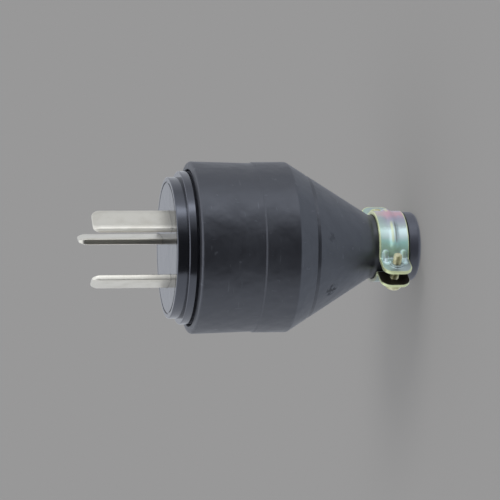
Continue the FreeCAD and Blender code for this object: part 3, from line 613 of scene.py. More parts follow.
class ClampFinish(Finish):
    """Passivated steel whose tint changes round the clamp, with painted highlights, yellow at the
    sheared edges, and painted shade laid over it.
    """

    def __init__(self, colours):
        super().__init__("clamp_zinc_finish")
        self.colours = colours
        self.clamp = bpy.context.scene.plug_clamp
        self.reaches = bpy.context.scene.plug_tints
        level = (0, 0, self.clamp.level)
        turn = (0, 0, -self.clamp.clamp_angle)
        self.x, self.y, self.z = self.split(self.mapped(self.place, location=level, turn=turn))
        self.half_turns = self.x.math("ARCTAN2", abs(self.y), self.x) / math.pi
        self.drift = self.noise(260.0, roughness=0.55)
        self.fine = self.noise(900.0)
        self.film = self.half_turns + (self.drift - 0.5) * 0.16 + (self.fine - 0.5) * 0.03

    def film_tints_and_highlight(self):
        """The film's colours, from the lower split over the band to the upper split, with a painted
        highlight across the band.
        """
        colours = self.colours
        self.tint = self.ramp(self.film, [
            (0.09, colours.zinc_grey),
            (0.14, colours.zinc_green),
            (0.23, colours.zinc_teal),
            # The two pale stops are a painted highlight across the band; the other stops are the film's
            # own tints.
            (0.28, colours.zinc_painted_highlight),
            (0.34, colours.zinc_painted_highlight),
            (0.38, colours.zinc_grey),
            (0.47, colours.zinc_lilac),
            (0.52, colours.zinc_pink),
            (0.60, colours.zinc_pink),
            (0.68, colours.zinc_lilac),
            (0.80, colours.zinc_teal),
            (0.92, colours.zinc_grey),
        ])
        self.paint(self.between(self.z, 0.0, self.clamp.width / 2) * 0.4, colours.zinc_green)

    def rib_highlight_and_shade(self):
        """A painted highlight in yellow on the rib's front flank and painted shade on its rear flank."""
        reaches = self.reaches
        from_end = 0.5 - abs(self.half_turns - 0.5)
        start = self.clamp.rib_start / math.pi
        on_rib = self.between(from_end, start, start + 0.05) * self.between(from_end, 0.45, 0.38)
        front = self.within(
            abs(self.z - reaches.flank_offset), reaches.front_flank, reaches.front_fade)
        rear = self.within(
            abs(self.z + reaches.flank_offset), reaches.rear_flank, reaches.rear_fade)
        # Painted highlight on the rib's front flank, painted shade on its rear flank.
        self.paint(on_rib * front * 0.6, self.colours.zinc_yellow_highlight)
        self.paint(on_rib * rear * 0.55, self.colours.zinc_painted_shade)

    def gusset_highlights_and_shade(self):
        """A painted highlight on each pressed gusset's outline and lower end, and painted shade on its
        crest.
        """
        clamp = self.clamp
        press = ClampPress(clamp)
        past_x = abs(self.x) - press.corner.x
        past_y = abs(self.y) - press.corner.y
        along = past_x * press.along.x + past_y * press.along.y
        past_end = (abs(along) - clamp.gusset_length / 2).above_zero()
        beside = abs(self.z) - clamp.gusset_offset
        off = distance(past_end, beside) / clamp.gusset_radius
        outline = self.between(off, 1.35, 1.1) * self.between(off, 0.55, 0.8)
        crest = self.between(off, 0.6, 0.3)
        low = self.reaches.gusset_low
        low_end = self.between(along, low - self.reaches.gusset_fade, low)
        # Painted highlight on the outline and lower end, painted shade on the crest.
        self.paint(outline * 0.8, self.colours.zinc_painted_highlight)
        self.paint(crest * (1 - low_end) * 0.45, self.colours.zinc_painted_shade)
        self.paint(self.between(off, 0.9, 0.6) * low_end, self.colours.zinc_painted_highlight)

    def collar_highlights(self):
        """A painted highlight in yellow on the upper ear's drawn collar."""
        off = distance(abs(self.x) - self.clamp.hole_reach, self.z)
        reach = self.clamp.collar_radius + self.reaches.collar_highlight_width
        collar = self.within(off, reach, self.reaches.collar_fade)
        # Painted highlight on the upper collar.
        self.paint(collar * self.between(self.half_turns, 0.7, 0.8) * 0.8, self.colours.zinc_yellow_highlight)

    def rim_highlights(self):
        """A painted highlight in yellow along the sheared edges, with a border that wanders."""
        clamp = self.clamp
        past_x = abs(self.x) - (clamp.ear_reach - clamp.ear_round)
        past_z = abs(self.z) - (clamp.width / 2 - clamp.ear_round)
        inset = clamp.ear_round - distance(past_x.above_zero(), past_z.above_zero())
        inset = inset + self.drift * self.reaches.rim_wander
        rim = self.within(inset, self.reaches.rim_highlight_width, self.reaches.rim_fade)
        # Painted highlight along the sheared edges.
        self.paint(rim * 0.85, self.colours.zinc_yellow_highlight)

    def painted_shades(self):
        """Painted shade on the plain half's lower side, and on both halves where they face each other.
        """
        reaches = self.reaches
        plain_half = self.between(self.y, 0.0, -reaches.painted_shade_fade)
        lower = self.between(self.half_turns, 0.09, 0.13) * self.between(self.half_turns, 0.48, 0.38)
        # Painted shade on the plain half's lower side, then between the halves.
        self.paint(plain_half * lower * 0.7, self.colours.zinc_painted_shade)
        inner = self.clamp.ear_gap / 2 + reaches.inner_fade
        self.paint(self.within(abs(self.y), inner, reaches.inner_fade), self.colours.zinc_painted_shade)


def zinc_finish(colours):
    finish = ClampFinish(colours)
    finish.film_tints_and_highlight()
    finish.rib_highlight_and_shade()
    finish.gusset_highlights_and_shade()
    finish.collar_highlights()
    finish.rim_highlights()
    finish.painted_shades()
    bare_band = finish.between(finish.film, 0.34, 0.42)
    bare_ear = finish.between(finish.film, 0.14, 0.08)
    lean = finish.relief(1 - finish.half_turns, strength=1.0, depth=finish.reaches.lean)
    return finish.set({
        "Base Color": finish.tint,
        "Metallic": bare_band * 0.4 + bare_ear * 0.35 + 0.2,
        "Roughness": finish.fine * 0.12 + finish.drift * 0.10 + 0.22,
        "Normal": finish.relief(finish.fine, strength=0.08, depth=0.05 * MM, below=lean),
    })


def screw_finish(colours):
    finish = Finish("screw_zinc_finish")
    drift = finish.noise(700.0)
    fine = finish.noise(2400.0)
    tint = finish.blend(finish.between(drift, 0.35, 0.65), colours.screw_olive, colours.screw_straw)
    return finish.set({
        "Base Color": tint,
        "Metallic": 0.7,
        "Roughness": fine * 0.2 + 0.24,
        "Normal": finish.relief(fine, strength=0.1, depth=0.04 * MM),
    })


def brass_finish(colours):
    finish = Finish("terminal_brass_finish")
    drift = finish.noise(500.0, detail=4.0)
    rings = finish.stretched((500.0, 500.0, 6000.0), detail=2.0)
    tint = finish.blend(finish.between(drift, 0.3, 0.7), colours.brass, colours.brass_dull)
    return finish.set({
        "Base Color": tint,
        "Metallic": 1.0,
        "Roughness": rings * 0.15 + drift * 0.15 + 0.18,
        "Normal": finish.relief(rings, strength=0.08, depth=0.04 * MM),
    })


def inner_finish(colours):
    finish = Finish("inner_moulding_finish")
    cloud = finish.noise(240.0, detail=4.0)
    flecks = finish.noise(1800.0, detail=2.0)
    share = cloud * 0.6 + finish.between(flecks, 0.55, 0.7) * 0.4
    return finish.set({
        "Base Color": finish.blend(share, colours.inner_dark, colours.inner_pale),
        "Roughness": cloud * 0.2 + 0.42,
        "Normal": finish.relief(flecks, strength=0.15, depth=0.06 * MM),
    })


FINISHES = {
    "boot_rubber": rubber_finish,
    "base_moulding": moulding_finish,
    "blade_plating": plating_finish,
    "clamp_zinc": zinc_finish,
    "screw_zinc": screw_finish,
    "terminal_brass": brass_finish,
    "inner_moulding": inner_finish,
}
SLOTS = {part["node"]: part["material_slot"] for part in frame["record"]["subparts"]}
MADE = {}


def finish_for(slot):
    """The finish of a slot, made the first time that it is asked for."""
    if slot not in MADE:
        MADE[slot] = FINISHES[slot](bpy.context.scene.plug_colours)
    return MADE[slot]


# Meshes


def new_object(name, mesh):
    made = bpy.data.objects.new(name, mesh)
    bpy.context.scene.collection.objects.link(made)
    return made


def mesh_from(name, build):
    """A mesh whose faces point outwards, from a function that fills an empty bmesh."""
    shape = bmesh.new()
    build(shape)
    bmesh.ops.remove_doubles(shape, verts=shape.verts, dist=WELD)
    bmesh.ops.recalc_face_normals(shape, faces=shape.faces)
    mesh = bpy.data.meshes.new(name)
    shape.to_mesh(mesh)
    shape.free()
    smooth(mesh)
    return mesh


def smooth(mesh):
    mesh.shade_smooth()
    mesh.set_sharp_from_angle(angle=SHARP_EDGE)


def round_corner(before, corner, after, radius):
    """The points of the arc that replaces a corner between two straight runs."""
    back = before - corner
    onward = after - corner
    turn = math.pi - back.angle(onward)
    most = ARC_SHARE * min(back.length, onward.length)
    cut = min(radius * math.tan(turn / 2), most)
    radius = cut / math.tan(turn / 2)
    middle = (back.normalized() + onward.normalized()).normalized()
    centre = corner + middle * (radius / math.cos(turn / 2))
    start = corner + back.normalized() * cut - centre
    end = corner + onward.normalized() * cut - centre
    steps = max(3, round(turn / ROUND_STEP))
    points = []
    for index in range(steps + 1):
        share = index / steps
        arm = start * math.sin((1 - share) * turn) + end * math.sin(share * turn)
        points.append(centre + arm / math.sin(turn))
    return points


def rounded_outline(corners, step):
    """A closed outline through corners (x, y, radius), with long runs cut into steps."""
    points = [Vector((x, y)) for x, y, radius in corners]
    arcs = []
    for index, (x, y, radius) in enumerate(corners):
        before = points[index - 1]
        after = points[(index + 1) % len(points)]
        arcs.append(round_corner(before, points[index], after, radius))
    outline = []
    for index, arc in enumerate(arcs):
        outline.extend(arc)
        outline.extend(straight_run(arc[-1], arcs[(index + 1) % len(arcs)][0], step))
    return outline


def straight_run(start, end, step):
    """Points between two ends, with one close to each end."""
    run = end - start
    guard = min(GUARD, run.length * 0.2)
    places = [guard]
    count = max(1, math.ceil(run.length / step))
    places.extend(run.length * index / count for index in range(1, count))
    places.append(run.length - guard)
    direction = run.normalized()
    return [start + direction * place for place in sorted(places)]


def revolve(shape, outline, count, wander=None):
    """Turn a closed outline of (radius, height) points about the Z axis."""
    rings = []
    for index in range(count):
        turn = FULL_TURN * index / count
        cosine = math.cos(turn)
        sine = math.sin(turn)
        ring = []
        for radius, height in outline:
            point = Vector((radius * cosine, radius * sine, height))
            if wander:
                point = wander(point, radius)
            ring.append(shape.verts.new(point))
        rings.append(ring)
    join_rings(shape, rings, closed=True)


def join_rings(shape, rings, closed=False):
    """Faces between neighbouring rings of points, each ring closed on itself."""
    count = len(rings) if closed else len(rings) - 1
    for index in range(count):
        first = rings[index]
        second = rings[(index + 1) % len(rings)]
        for place in range(len(first)):
            after = (place + 1) % len(first)
            shape.faces.new((first[place], first[after], second[after], second[place]))


def ring_of_points(shape, radius, height, count, x=0.0):
    """A level ring of points about an upright line at this x."""
    ring = []
    for index in range(count):
        turn = FULL_TURN * index / count
        ring.append(shape.verts.new((x + radius * math.cos(turn), radius * math.sin(turn), height)))
    return ring


def solid_from_rings(shape, rings):
    """A closed solid through a row of rings, capped at both ends."""
    join_rings(shape, rings)
    shape.faces.new(rings[0])
    shape.faces.new(rings[-1])


def band_section(half_width, half_height, corner, across, bevel):
    """A closed section with rounded corners: (sideways, outwards) pairs, the outer side first.

    bevel is the width of the sloped border of both flat sides, and how far it falls.
    """
    width, fall = bevel
    flat = half_width - corner
    inner = flat - width
    places = [inner * (2 * index / across - 1) for index in range(across + 1)]
    side = [(place, half_height) for place in places]
    if fall:
        side = [(-flat, half_height - fall), *side, (flat, half_height - fall)]
    middle = half_height - fall - corner
    back = [(place, -height) for place, height in reversed(side)]
    return side + corner_points(flat, middle, corner) + back + corner_points(-flat, -middle, corner)


def corner_points(x, y, radius):
    """The inner points of the half turn from one flat side round to the other."""
    sign = 1 if x > 0 else -1
    quarter = []
    for degrees in (67.5, 45.0, 22.5, 0.0):
        turn = math.radians(degrees)
        quarter.append((x + sign * radius * math.cos(turn), y + sign * radius * math.sin(turn)))
    return quarter + [(across, -outward) for across, outward in reversed(quarter)]


def strip_line(runs, step):
    """Points, with their outward directions, along straight and curved runs in the XY plane.

    A straight run is ("line", start, end, outward). A curved one is ("arc", centre, radius, first
    angle, last angle, side), where side is 1 if the outer side faces away from the centre.
    """
    line = []
    for kind, *values in runs:
        if kind == "line":
            start, end, outward = values
            count = max(2, math.ceil((end - start).length / step))
            for index in range(count + 1):
                line.append((start.lerp(end, index / count), outward))
        else:
            centre, radius, first, last, side = values
            count = max(4, math.ceil(abs(last - first) * radius / step))
            for index in range(count + 1):
                turn = first + (last - first) * index / count
                arm = Vector((math.cos(turn), math.sin(turn)))
                line.append((centre + arm * radius, arm * side))
    return without_repeats(line)


def without_repeats(line):
    kept = [line[0]]
    for point, outward in line[1:]:
        if (point - kept[-1][0]).length > SAME_POINT:
            kept.append((point, outward))
    return kept


def measured(line):
    """The line's points, each with how far it is from both ends."""
    travelled = [0.0]
    for (first, _), (second, _) in zip(line, line[1:]):
        travelled.append(travelled[-1] + (second - first).length)
    whole = travelled[-1]
    return [(point, outward, far, whole - far) for (point, outward), far in zip(line, travelled)]


def end_places(edge, corner):
    """Distances from a strip's end where its rounded edge and corner need a section."""
    places = set()
    for radius, steps in ((edge, EDGE_CUTS), (corner, CORNER_CUTS)):
        for index in range(steps + 1):
            places.add(radius * (1 - math.cos(math.pi / 2 * index / steps)))
    return sorted(places)


def end_inset(reach, radius):
    """How far a quarter round of this radius has drawn in, this far from the end."""
    if reach >= radius:
        return 0.0
    return radius - math.sqrt(max(0.0, radius * radius - (radius - reach) ** 2))


def point_along(line, reach):
    """The point and outward direction at a distance along the line."""
    left = reach
    for (first, outward), (second, _) in zip(line, line[1:]):
        span = (second - first).length
        if left <= span:
            return first.lerp(second, left / span), outward
        left -= span
    return line[-1]


def strip(shape, line, sizes, across, thin=None, press=None, bevel=(0.0, 0.0)):
    """A bent strip of sheet with rounded corners and edges.

    sizes is (half width, half thickness, edge round, corner round). thin gives what is taken off
    each flat side at a distance from the end, and press moves a point of the outer or inner skin.
    """
    half_width, half_thickness, edge, corner = sizes
    points = measured(line)
    whole = points[0][3]
    special = end_places(edge, corner)
    limit = max(special)
    rows = [(point, outward, near, far) for point, outward, near, far in points
            if near > limit and far > limit]
    starts = []
    ends = []
    for reach in special:
        point, outward = point_along(line, reach)
        starts.append((point, outward, reach, whole - reach))
        point, outward = point_along(line, whole - reach)
        ends.append((point, outward, whole - reach, reach))
    rows = starts + rows + list(reversed(ends))
    rings = []
    for point, outward, near, far in rows:
        reach = min(near, far)
        edge_inset = end_inset(reach, edge)
        width = half_width - end_inset(reach, corner) - edge_inset
        thickness = half_thickness - edge_inset
        if thin:
            thickness -= thin(near, far)
        section = band_section(width, thickness, min(edge, thickness * 0.5), across, bevel)
        ring = []
        for sideways, height in section:
            flat = point + outward * height
            place = Vector((flat.x, flat.y, sideways))
            if press:
                place = press(place, height)
            ring.append(shape.verts.new(place))
        rings.append(ring)
    solid_from_rings(shape, rings)


def cylinder(shape, radius, low, high, count, x=0.0):
    """A closed cylinder along Z."""
    solid_from_rings(shape, [ring_of_points(shape, radius, height, count, x) for height in (low, high)])


def cut_or_join(target, tool_mesh, operation):
    """Cut one mesh from another, or join the two into one skin."""
    tool = new_object("tool", tool_mesh)
    change = target.modifiers.new("change", "BOOLEAN")
    change.operation = operation
    change.solver = "EXACT"
    change.object = tool
    flatten_modifiers(target)
    bpy.data.objects.remove(tool)


def flatten_modifiers(target):
    """Turn the object's modifiers into a plain mesh."""
    graph = bpy.context.evaluated_depsgraph_get()
    graph.update()
    mesh = bpy.data.meshes.new_from_object(target.evaluated_get(graph))
    target.modifiers.clear()
    target.data = mesh
    smooth(mesh)


def coat(mesh, slot):
    mesh.materials.clear()
    mesh.materials.append(finish_for(slot))


def settle(piece, *nodes):
    """Let a piece stand for the frame's nodes, with the finish of their slot."""
    slot = SLOTS[nodes[0]]
    coat(piece.data, slot)
    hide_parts(*nodes)
    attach(piece, BODY)


def dress(*nodes):
    """Give the frame's own solids the finish of their slot."""
    for node in nodes:
        coat(frame["nodes"][node].data, SLOTS[node])


# The rubber boot


def boot_outline(boot):
    """The boot's section from its mouth, down the outside, and back up the inside."""
    slope = (boot.shoulder_radius - boot.neck_radius) / (boot.cone_end - boot.shoulder_depth)

    def cone(depth):
        return boot.shoulder_radius - slope * (depth - boot.shoulder_depth)

    top = boot.groove_depth - boot.groove_width / 2
    end = boot.groove_depth + boot.groove_width / 2
    soft = boot.edge_round
    corners = [
        (boot.mouth_radius, boot.mouth_depth, boot.mouth_round),
        (boot.rim_radius, boot.rim_depth, boot.rim_round),
        (boot.waist_radius, boot.band_depth, boot.band_round),
        (boot.waist_radius + boot.band_step, boot.band_depth + boot.band_ramp, boot.band_round),
        (boot.shoulder_radius, boot.shoulder_depth, boot.shoulder_round),
        (cone(top), top, soft / 2),
        (cone(top) - boot.groove_cut, top + boot.groove_wall, soft / 2),
        (cone(end), end, soft / 2),
        (boot.neck_radius, boot.cone_end, boot.cone_end_round),
        (boot.neck_radius, boot.collar_depth, soft / 2),
        (boot.collar_radius, boot.collar_depth, soft),
        (boot.collar_radius, boot.end_depth, boot.collar_round),
        (boot.bore_radius, boot.end_depth, soft),
        (boot.bore_radius, boot.bore_top, soft),
        (boot.cavity_radius, boot.cavity_depth, 4 * soft),
        (boot.cavity_radius, boot.seat_rear, soft / 2),
        (boot.seat_radius, boot.seat_rear, soft / 2),
        (boot.seat_radius, boot.seat_front, soft / 2),
        (boot.mouth_radius, boot.seat_front, soft / 2),
    ]
    return [(radius, -depth, bend) for radius, depth, bend in corners]


class PLUG_OT_boot(bpy.types.Operator):
    """Build the moulded rubber boot"""

    bl_idname = "plug.boot"
    bl_label = "Rubber boot"

    def execute(self, context):
        boot = context.scene.plug_boot
        outline = rounded_outline(boot_outline(boot), BOOT_STEP)

        def wander(point, radius):
            """The outer skin of the sleeve and cone dips a little, as moulded rubber does."""
            outer = radius > boot.cavity_radius + MM or point.z < -boot.cavity_depth - 2 * MM
            if not outer or radius < boot.neck_radius - MM:
                return point
            place = point / boot.unevenness_size
            swell = noise.noise(place) + 0.5 * noise.noise(place * 2.5)
            dip = boot.unevenness * (swell - 1.0) / 2
            shrink = (radius + dip) / radius
            return Vector((point.x * shrink, point.y * shrink, point.z))

        name = "rubber_boot_skin"
        mesh = mesh_from(name, lambda shape: revolve(shape, outline, BOOT_POINTS, wander))
        settle(new_object(name, mesh), "rubber_boot")
        return {"FINISHED"}


# The stepped base and what is behind it


class PLUG_OT_base(bpy.types.Operator):
    """Finish the stepped base that holds the blades"""

    bl_idname = "plug.base"
    bl_label = "Blade base"

    def execute(self, context):
        dress("blade_base")
        return {"FINISHED"}


class PLUG_OT_terminals(bpy.types.Operator):
    """Finish the barrier, the terminal washers and the screws inside the boot"""

    bl_idname = "plug.terminals"
    bl_label = "Terminals"

    def execute(self, context):
        dress("terminal_barrier")
        for name in ("live", "neutral", "earth"):
            dress(f"{name}_terminal_screw", f"{name}_terminal_washer")
        for index in (1, 2, 3):
            dress(f"barrier_screw_{index}")
        return {"FINISHED"}


# The blades


def blade_line(blades, reach):
    """The middle line of a blade: from the end of its foot, round the fold, up to its tip."""
    fold = blades.fold_radius
    level = -blades.foot_level
    runs = [
        ("line", Vector((blades.foot_reach, level)), Vector((fold, level)), Vector((0, -1))),
        ("arc", Vector((fold, level + fold)), fold, -math.pi / 2, -math.pi, 1),
        ("line", Vector((0, level + fold)), Vector((0, reach)), Vector((-1, 0))),
    ]
    return strip_line(runs, BLADE_STEP)


def blade_mesh(blades, name, reach, lean):
    half_width = blades.width / 2
    half = blades.thickness / 2
    bevel = (blades.bevel_width, blades.bevel_fall)

    def thin(near, far):
        """The tip is a shallow wedge; the foot's end is not."""
        return blades.taper_inset * max(0.0, 1 - far / blades.taper_length)

    def press(place, height):
        """One flat side is a little narrower than the other, so that both sheared edges lean."""
        narrowed = math.tan(abs(lean)) * (half + math.copysign(height, height * lean))
        return Vector((place.x, place.y, place.z * (1 - narrowed / half_width)))

    sizes = (half_width, half, blades.edge_round, blades.tip_round)
    line = blade_line(blades, reach)
    mesh = mesh_from(name, lambda shape: strip(
        shape, line, sizes, BLADE_ACROSS, thin, press, bevel))
    # The strip is made in the XY plane with its width along Z; stand it up along Z.
    mesh.transform(Matrix(((1, 0, 0, 0), (0, 0, -1, 0), (0, 1, 0, 0), (0, 0, 0, 1))))
    return mesh


class PLUG_OT_blades(bpy.types.Operator):
    """Build the three plated blades"""

    bl_idname = "plug.blades"
    bl_label = "Blades"

    def execute(self, context):
        blades = context.scene.plug_blades
        turn = blades.blade_angle
        lean = blades.edge_lean
        places = {
            "live": (blades.live_length, blades.pitch_radius, -turn, -turn, lean),
            "neutral": (blades.live_length, blades.pitch_radius, math.pi + turn, math.pi + turn, lean),
            "earth": (blades.earth_length, blades.earth_radius, math.pi / 2, 0.0, -lean),
        }
        for name, (reach, pitch, towards, facing, slant) in places.items():
            self.make_blade(blades, name, reach, pitch, towards, facing, slant)
        return {"FINISHED"}

    def make_blade(self, blades, name, reach, pitch, towards, facing, lean):
        title = f"{name}_blade_plated"
        piece = new_object(title, blade_mesh(blades, title, reach, lean))
        low = -(blades.foot_level + blades.thickness)
        high = -(blades.foot_level - blades.thickness)
        hole = mesh_from("hole", lambda shape: cylinder(
            shape, blades.hole_radius, low, high, BLADE_HOLE_POINTS, x=blades.hole_reach))
        cut_or_join(piece, hole, "DIFFERENCE")
        centre = Vector((pitch * math.cos(towards), pitch * math.sin(towards), 0))
        piece.data.transform(Matrix.Translation(centre) @ Matrix.Rotation(facing, 4, "Z"))
        settle(piece, f"{name}_blade")


# The pressed clamp


def clamp_line(clamp):
    """The middle line of a half: an ear, its bend, the band, and the same again mirrored."""
    half = clamp.sheet / 2
    level = clamp.ear_gap / 2 + half
    band = clamp.band_radius + half
    bend = clamp.bend_round + half
    centre_y = level + bend
    centre_x = math.sqrt((band + bend) ** 2 - centre_y ** 2)
    lean = math.atan2(centre_y, centre_x)
    ear_out = Vector((0, 1))
    runs = [
        ("line", Vector((clamp.ear_reach, level)), Vector((centre_x, level)), ear_out),
        ("arc", Vector((centre_x, centre_y)), bend, -math.pi / 2, lean - math.pi, -1),
        ("arc", Vector((0, 0)), band, lean, math.pi - lean, 1),
        ("arc", Vector((-centre_x, centre_y)), bend, -lean, -math.pi / 2, -1),
        ("line", Vector((-centre_x, level)), Vector((-clamp.ear_reach, level)), ear_out),
    ]
    return strip_line(runs, CLAMP_STEP)


class ClampPress:
    """Moves the points of the flat strip as the press tool does: a rib and four gussets."""

    def __init__(self, clamp):
        self.clamp = clamp
        outer = clamp.band_radius + clamp.sheet
        level = clamp.ear_gap / 2 + clamp.sheet
        self.outer = outer
        self.corner = Vector((math.sqrt(outer ** 2 - level ** 2), level))
        slope = clamp.gusset_angle
        self.along = Vector((math.cos(slope), -math.sin(slope)))
        self.rise = Vector((math.sin(slope), math.cos(slope)))

    def rib(self, place):
        """How far the rib lifts the skin here, along the band's radius."""
        clamp = self.clamp
        turn = math.atan2(place.y, abs(place.x))
        past = max(0.0, (clamp.rib_start - turn)) * self.outer
        return clamp.rib_height * soft_dome(math.hypot(past, place.z) / (clamp.rib_width / 2))

    def gusset(self, place):
        """How far a gusset lifts the outer skin here, along the corner's bisector."""
        clamp = self.clamp
        flat = Vector((abs(place.x), place.y)) - self.corner
        along = flat.dot(self.along)
        height = flat.dot(self.rise)
        side = abs(abs(place.z) - clamp.gusset_offset)
        past = max(0.0, abs(along) - clamp.gusset_length / 2)
        off = math.hypot(past, side)
        if off >= clamp.gusset_radius:
            return 0.0
        top = clamp.gusset_rise + math.sqrt(clamp.gusset_radius ** 2 - off ** 2)
        return max(0.0, top - height)

    def __call__(self, place, height):
        flat = Vector((place.x, place.y))
        if flat.length > 0:
            lifted = flat + flat.normalized() * self.rib(place)
            place = Vector((lifted.x, lifted.y, place.z))
        if height > 0:
            lift = self.gusset(place)
            side = 1 if place.x > 0 else -1
            place = place + Vector((self.rise.x * side, self.rise.y, 0)) * lift
        return place


# The rib's section: where its foot ends, in half widths of the rib, and how full its flanks are.
DOME_FOOT = 1.25
DOME_FULLNESS = 0.6


def soft_dome(off):
    """A dome of height 1 at 0 whose foot runs out smoothly a little past 1."""
    share = min(1.0, off / DOME_FOOT)
    return (1 - share * share) ** 2 * (1 + DOME_FULLNESS * share * share)


def drawn_collar(shape, clamp, reach):
    """A short drawn collar that stands on the outside of an ear, before its hole is cut."""
    level = clamp.ear_gap / 2 + clamp.sheet
    low = level - clamp.collar_sink
    high = level + clamp.collar_height
    inner = clamp.hole_radius / 2
    outer = clamp.collar_radius
    edge = clamp.collar_edge
    foot = clamp.collar_foot
    corners = [
        (inner, low, edge),
        (inner, high, edge),
        (outer, high, edge * 1.4),
        (outer, level + foot * 0.4, edge),
        (outer + foot, level - foot * 0.2, edge),
        (outer + foot, low, edge / 3),
    ]
    revolve(shape, rounded_outline(corners, MM), HOLE_POINTS)
    for vertex in shape.verts:
        x, y, z = vertex.co
        vertex.co = (x + reach, z, -y)


class PLUG_OT_clamp(bpy.types.Operator):
    """Build the two pressed steel halves of the clamp"""

    bl_idname = "plug.clamp"
    bl_label = "Clamp halves"

    def execute(self, context):
        clamp = context.scene.plug_clamp
        self.make_half(clamp, "tapped_clamp_half", tapped=True, turn=0.0)
        self.make_half(clamp, "plain_clamp_half", tapped=False, turn=math.pi)
        return {"FINISHED"}

    def make_half(self, clamp, node, tapped, turn):
        name = f"{node}_pressed"
        sizes = (clamp.width / 2, clamp.sheet / 2, clamp.edge_round, clamp.ear_round)
        press = ClampPress(clamp)
        line = clamp_line(clamp)
        mesh = mesh_from(name, lambda shape: strip(shape, line, sizes, CLAMP_ACROSS, press=press))
        piece = new_object(name, mesh)
        through = clamp.ear_gap + 4 * clamp.sheet
        for reach in (clamp.hole_reach, -clamp.hole_reach):
            if tapped:
                collar = mesh_from("collar", lambda shape: drawn_collar(shape, clamp, reach))
                cut_or_join(piece, collar, "UNION")
            hole = mesh_from("hole", lambda shape: cylinder(
                shape, clamp.hole_radius, -through, through, HOLE_POINTS))
            hole.transform(Matrix.Translation((reach, 0, 0)) @ Matrix.Rotation(math.pi / 2, 4, "X"))
            cut_or_join(piece, hole, "DIFFERENCE")
        place = Matrix.Translation((0, 0, -clamp.level))
        piece.data.transform(place @ Matrix.Rotation(clamp.clamp_angle + turn, 4, "Z"))
        settle(piece, node)


# Screws and split washers, with their helical shapes from Geometry Nodes


class Plan(Nodes):
    """A Geometry Nodes tree whose named inputs are numbers and a material."""

    def __init__(self, name, *numbers):
        super().__init__(bpy.data.node_groups.new(name, "GeometryNodeTree"))
        self.sockets = {}
        self.add_input("Geometry", "NodeSocketGeometry")
        for title in numbers:
            self.add_input(title, "NodeSocketFloat")
        self.add_input("Material", "NodeSocketMaterial")
        self.tree.interface.new_socket("Geometry", in_out="OUTPUT", socket_type="NodeSocketGeometry")
        self.given = self.node("NodeGroupInput").outputs

    def add_input(self, title, kind):
        socket = self.tree.interface.new_socket(title, in_out="INPUT", socket_type=kind)
        self.sockets[title] = socket.identifier

    def number(self, title):
        return Value(self, self.given[title])

    def helix(self, points, turns, radius, rise):
        """A helix about Z on which a section stands upright."""
        line = self.node("GeometryNodeCurveSpiral", None, {
            "Resolution": points, "Rotations": turns, "Start Radius": radius,
            "End Radius": radius, "Height": rise})
        return self.node("GeometryNodeSetCurveNormal", {"mode": "Z_UP"}, {0: line.outputs[0]})

    def sweep(self, line, section):
        """A section carried along a line, with both ends closed."""
        return self.node("GeometryNodeCurveToMesh", None, {
            "Curve": line.outputs[0], "Profile Curve": section.outputs[0], "Fill Caps": True})

    def end(self, last):
        """Realize the instances, set the material and give the result."""
        whole = self.node("GeometryNodeRealizeInstances", None, {0: last.outputs[0]})
        painted = self.node("GeometryNodeSetMaterial", None, {
            "Geometry": whole.outputs[0], "Material": self.given["Material"]})
        self.node("NodeGroupOutput", None, {0: painted.outputs[0]})
        return self

    def apply(self, target, values):
        """Run the tree on an object and keep the result as its plain mesh."""
        change = target.modifiers.new(self.tree.name, "NODES")
        change.node_group = self.tree
        for title, value in values.items():
            change[self.sockets[title]] = value
        flatten_modifiers(target)


def thread_plan():
    """Winds a ridge with a square section set on its corner round a plain shank."""
    plan = Plan("screw_thread", "Core Radius", "Ridge Depth", "Pitch", "Start", "Run")
    run = plan.number("Run")
    helix = plan.helix(THREAD_POINTS, run / plan.number("Pitch"), plan.number("Core Radius"), run)
    section = plan.node("GeometryNodeCurvePrimitiveCircle", None, {
        "Resolution": 4, "Radius": plan.number("Ridge Depth")})
    ridge = plan.sweep(helix, section)
    lift = plan.node("ShaderNodeCombineXYZ", None, {"Z": plan.number("Start")})
    moved = plan.node("GeometryNodeTransform", None, {
        "Geometry": ridge.outputs[0], "Translation": lift.outputs[0]})
    joined = plan.node("GeometryNodeJoinGeometry")
    plan.feed(joined.inputs[0], plan.given["Geometry"])
    plan.feed(joined.inputs[0], moved.outputs[0])
    return plan.end(joined)


def washer_plan():
    """A split spring washer: a flat section that follows most of a turn of a low helix."""
    plan = Plan(
        "split_washer", "Mean Radius", "Section Width", "Section Height", "Edge Round",
        "Turn Share", "Spring")
    helix = plan.helix(
        WASHER_POINTS, plan.number("Turn Share"), plan.number("Mean Radius"), plan.number("Spring"))
    section = plan.node("GeometryNodeCurvePrimitiveQuadrilateral", None, {
        "Width": plan.number("Section Width"), "Height": plan.number("Section Height")})
    softened = plan.node("GeometryNodeFilletCurve", {"mode": "POLY"}, {
        "Curve": section.outputs[0], "Count": 3, "Radius": plan.number("Edge Round")})
    return plan.end(plan.sweep(helix, softened))


def screw_blank(name, screws, shank, reach):
    """A slotted screw: the head hangs below its bearing face, the plain shank stands on it."""
    head = screws.clamp_head
    height = screws.clamp_head_height
    corners = [
        (0.0, -height, 0.0),
        (head, -height, screws.head_round),
        (head, 0.0, screws.edge_round),
        (shank, 0.0, screws.edge_round),
        (shank, reach, screws.end_round),
        (0.0, reach, 0.0),
    ]
    piece = new_object(name, mesh_from(name, lambda shape: turned_solid(shape, corners, SCREW_POINTS)))

    def slot(shape):
        bmesh.ops.create_cube(shape, size=1.0)
        stretch = Matrix.Diagonal((screws.slot_width, head * 3, screws.slot_depth * 2, 1))
        place = Matrix.Translation((0, 0, -height))
        bmesh.ops.transform(shape, matrix=place @ stretch, verts=shape.verts)

    cut_or_join(piece, mesh_from("slot", slot), "DIFFERENCE")
    return piece


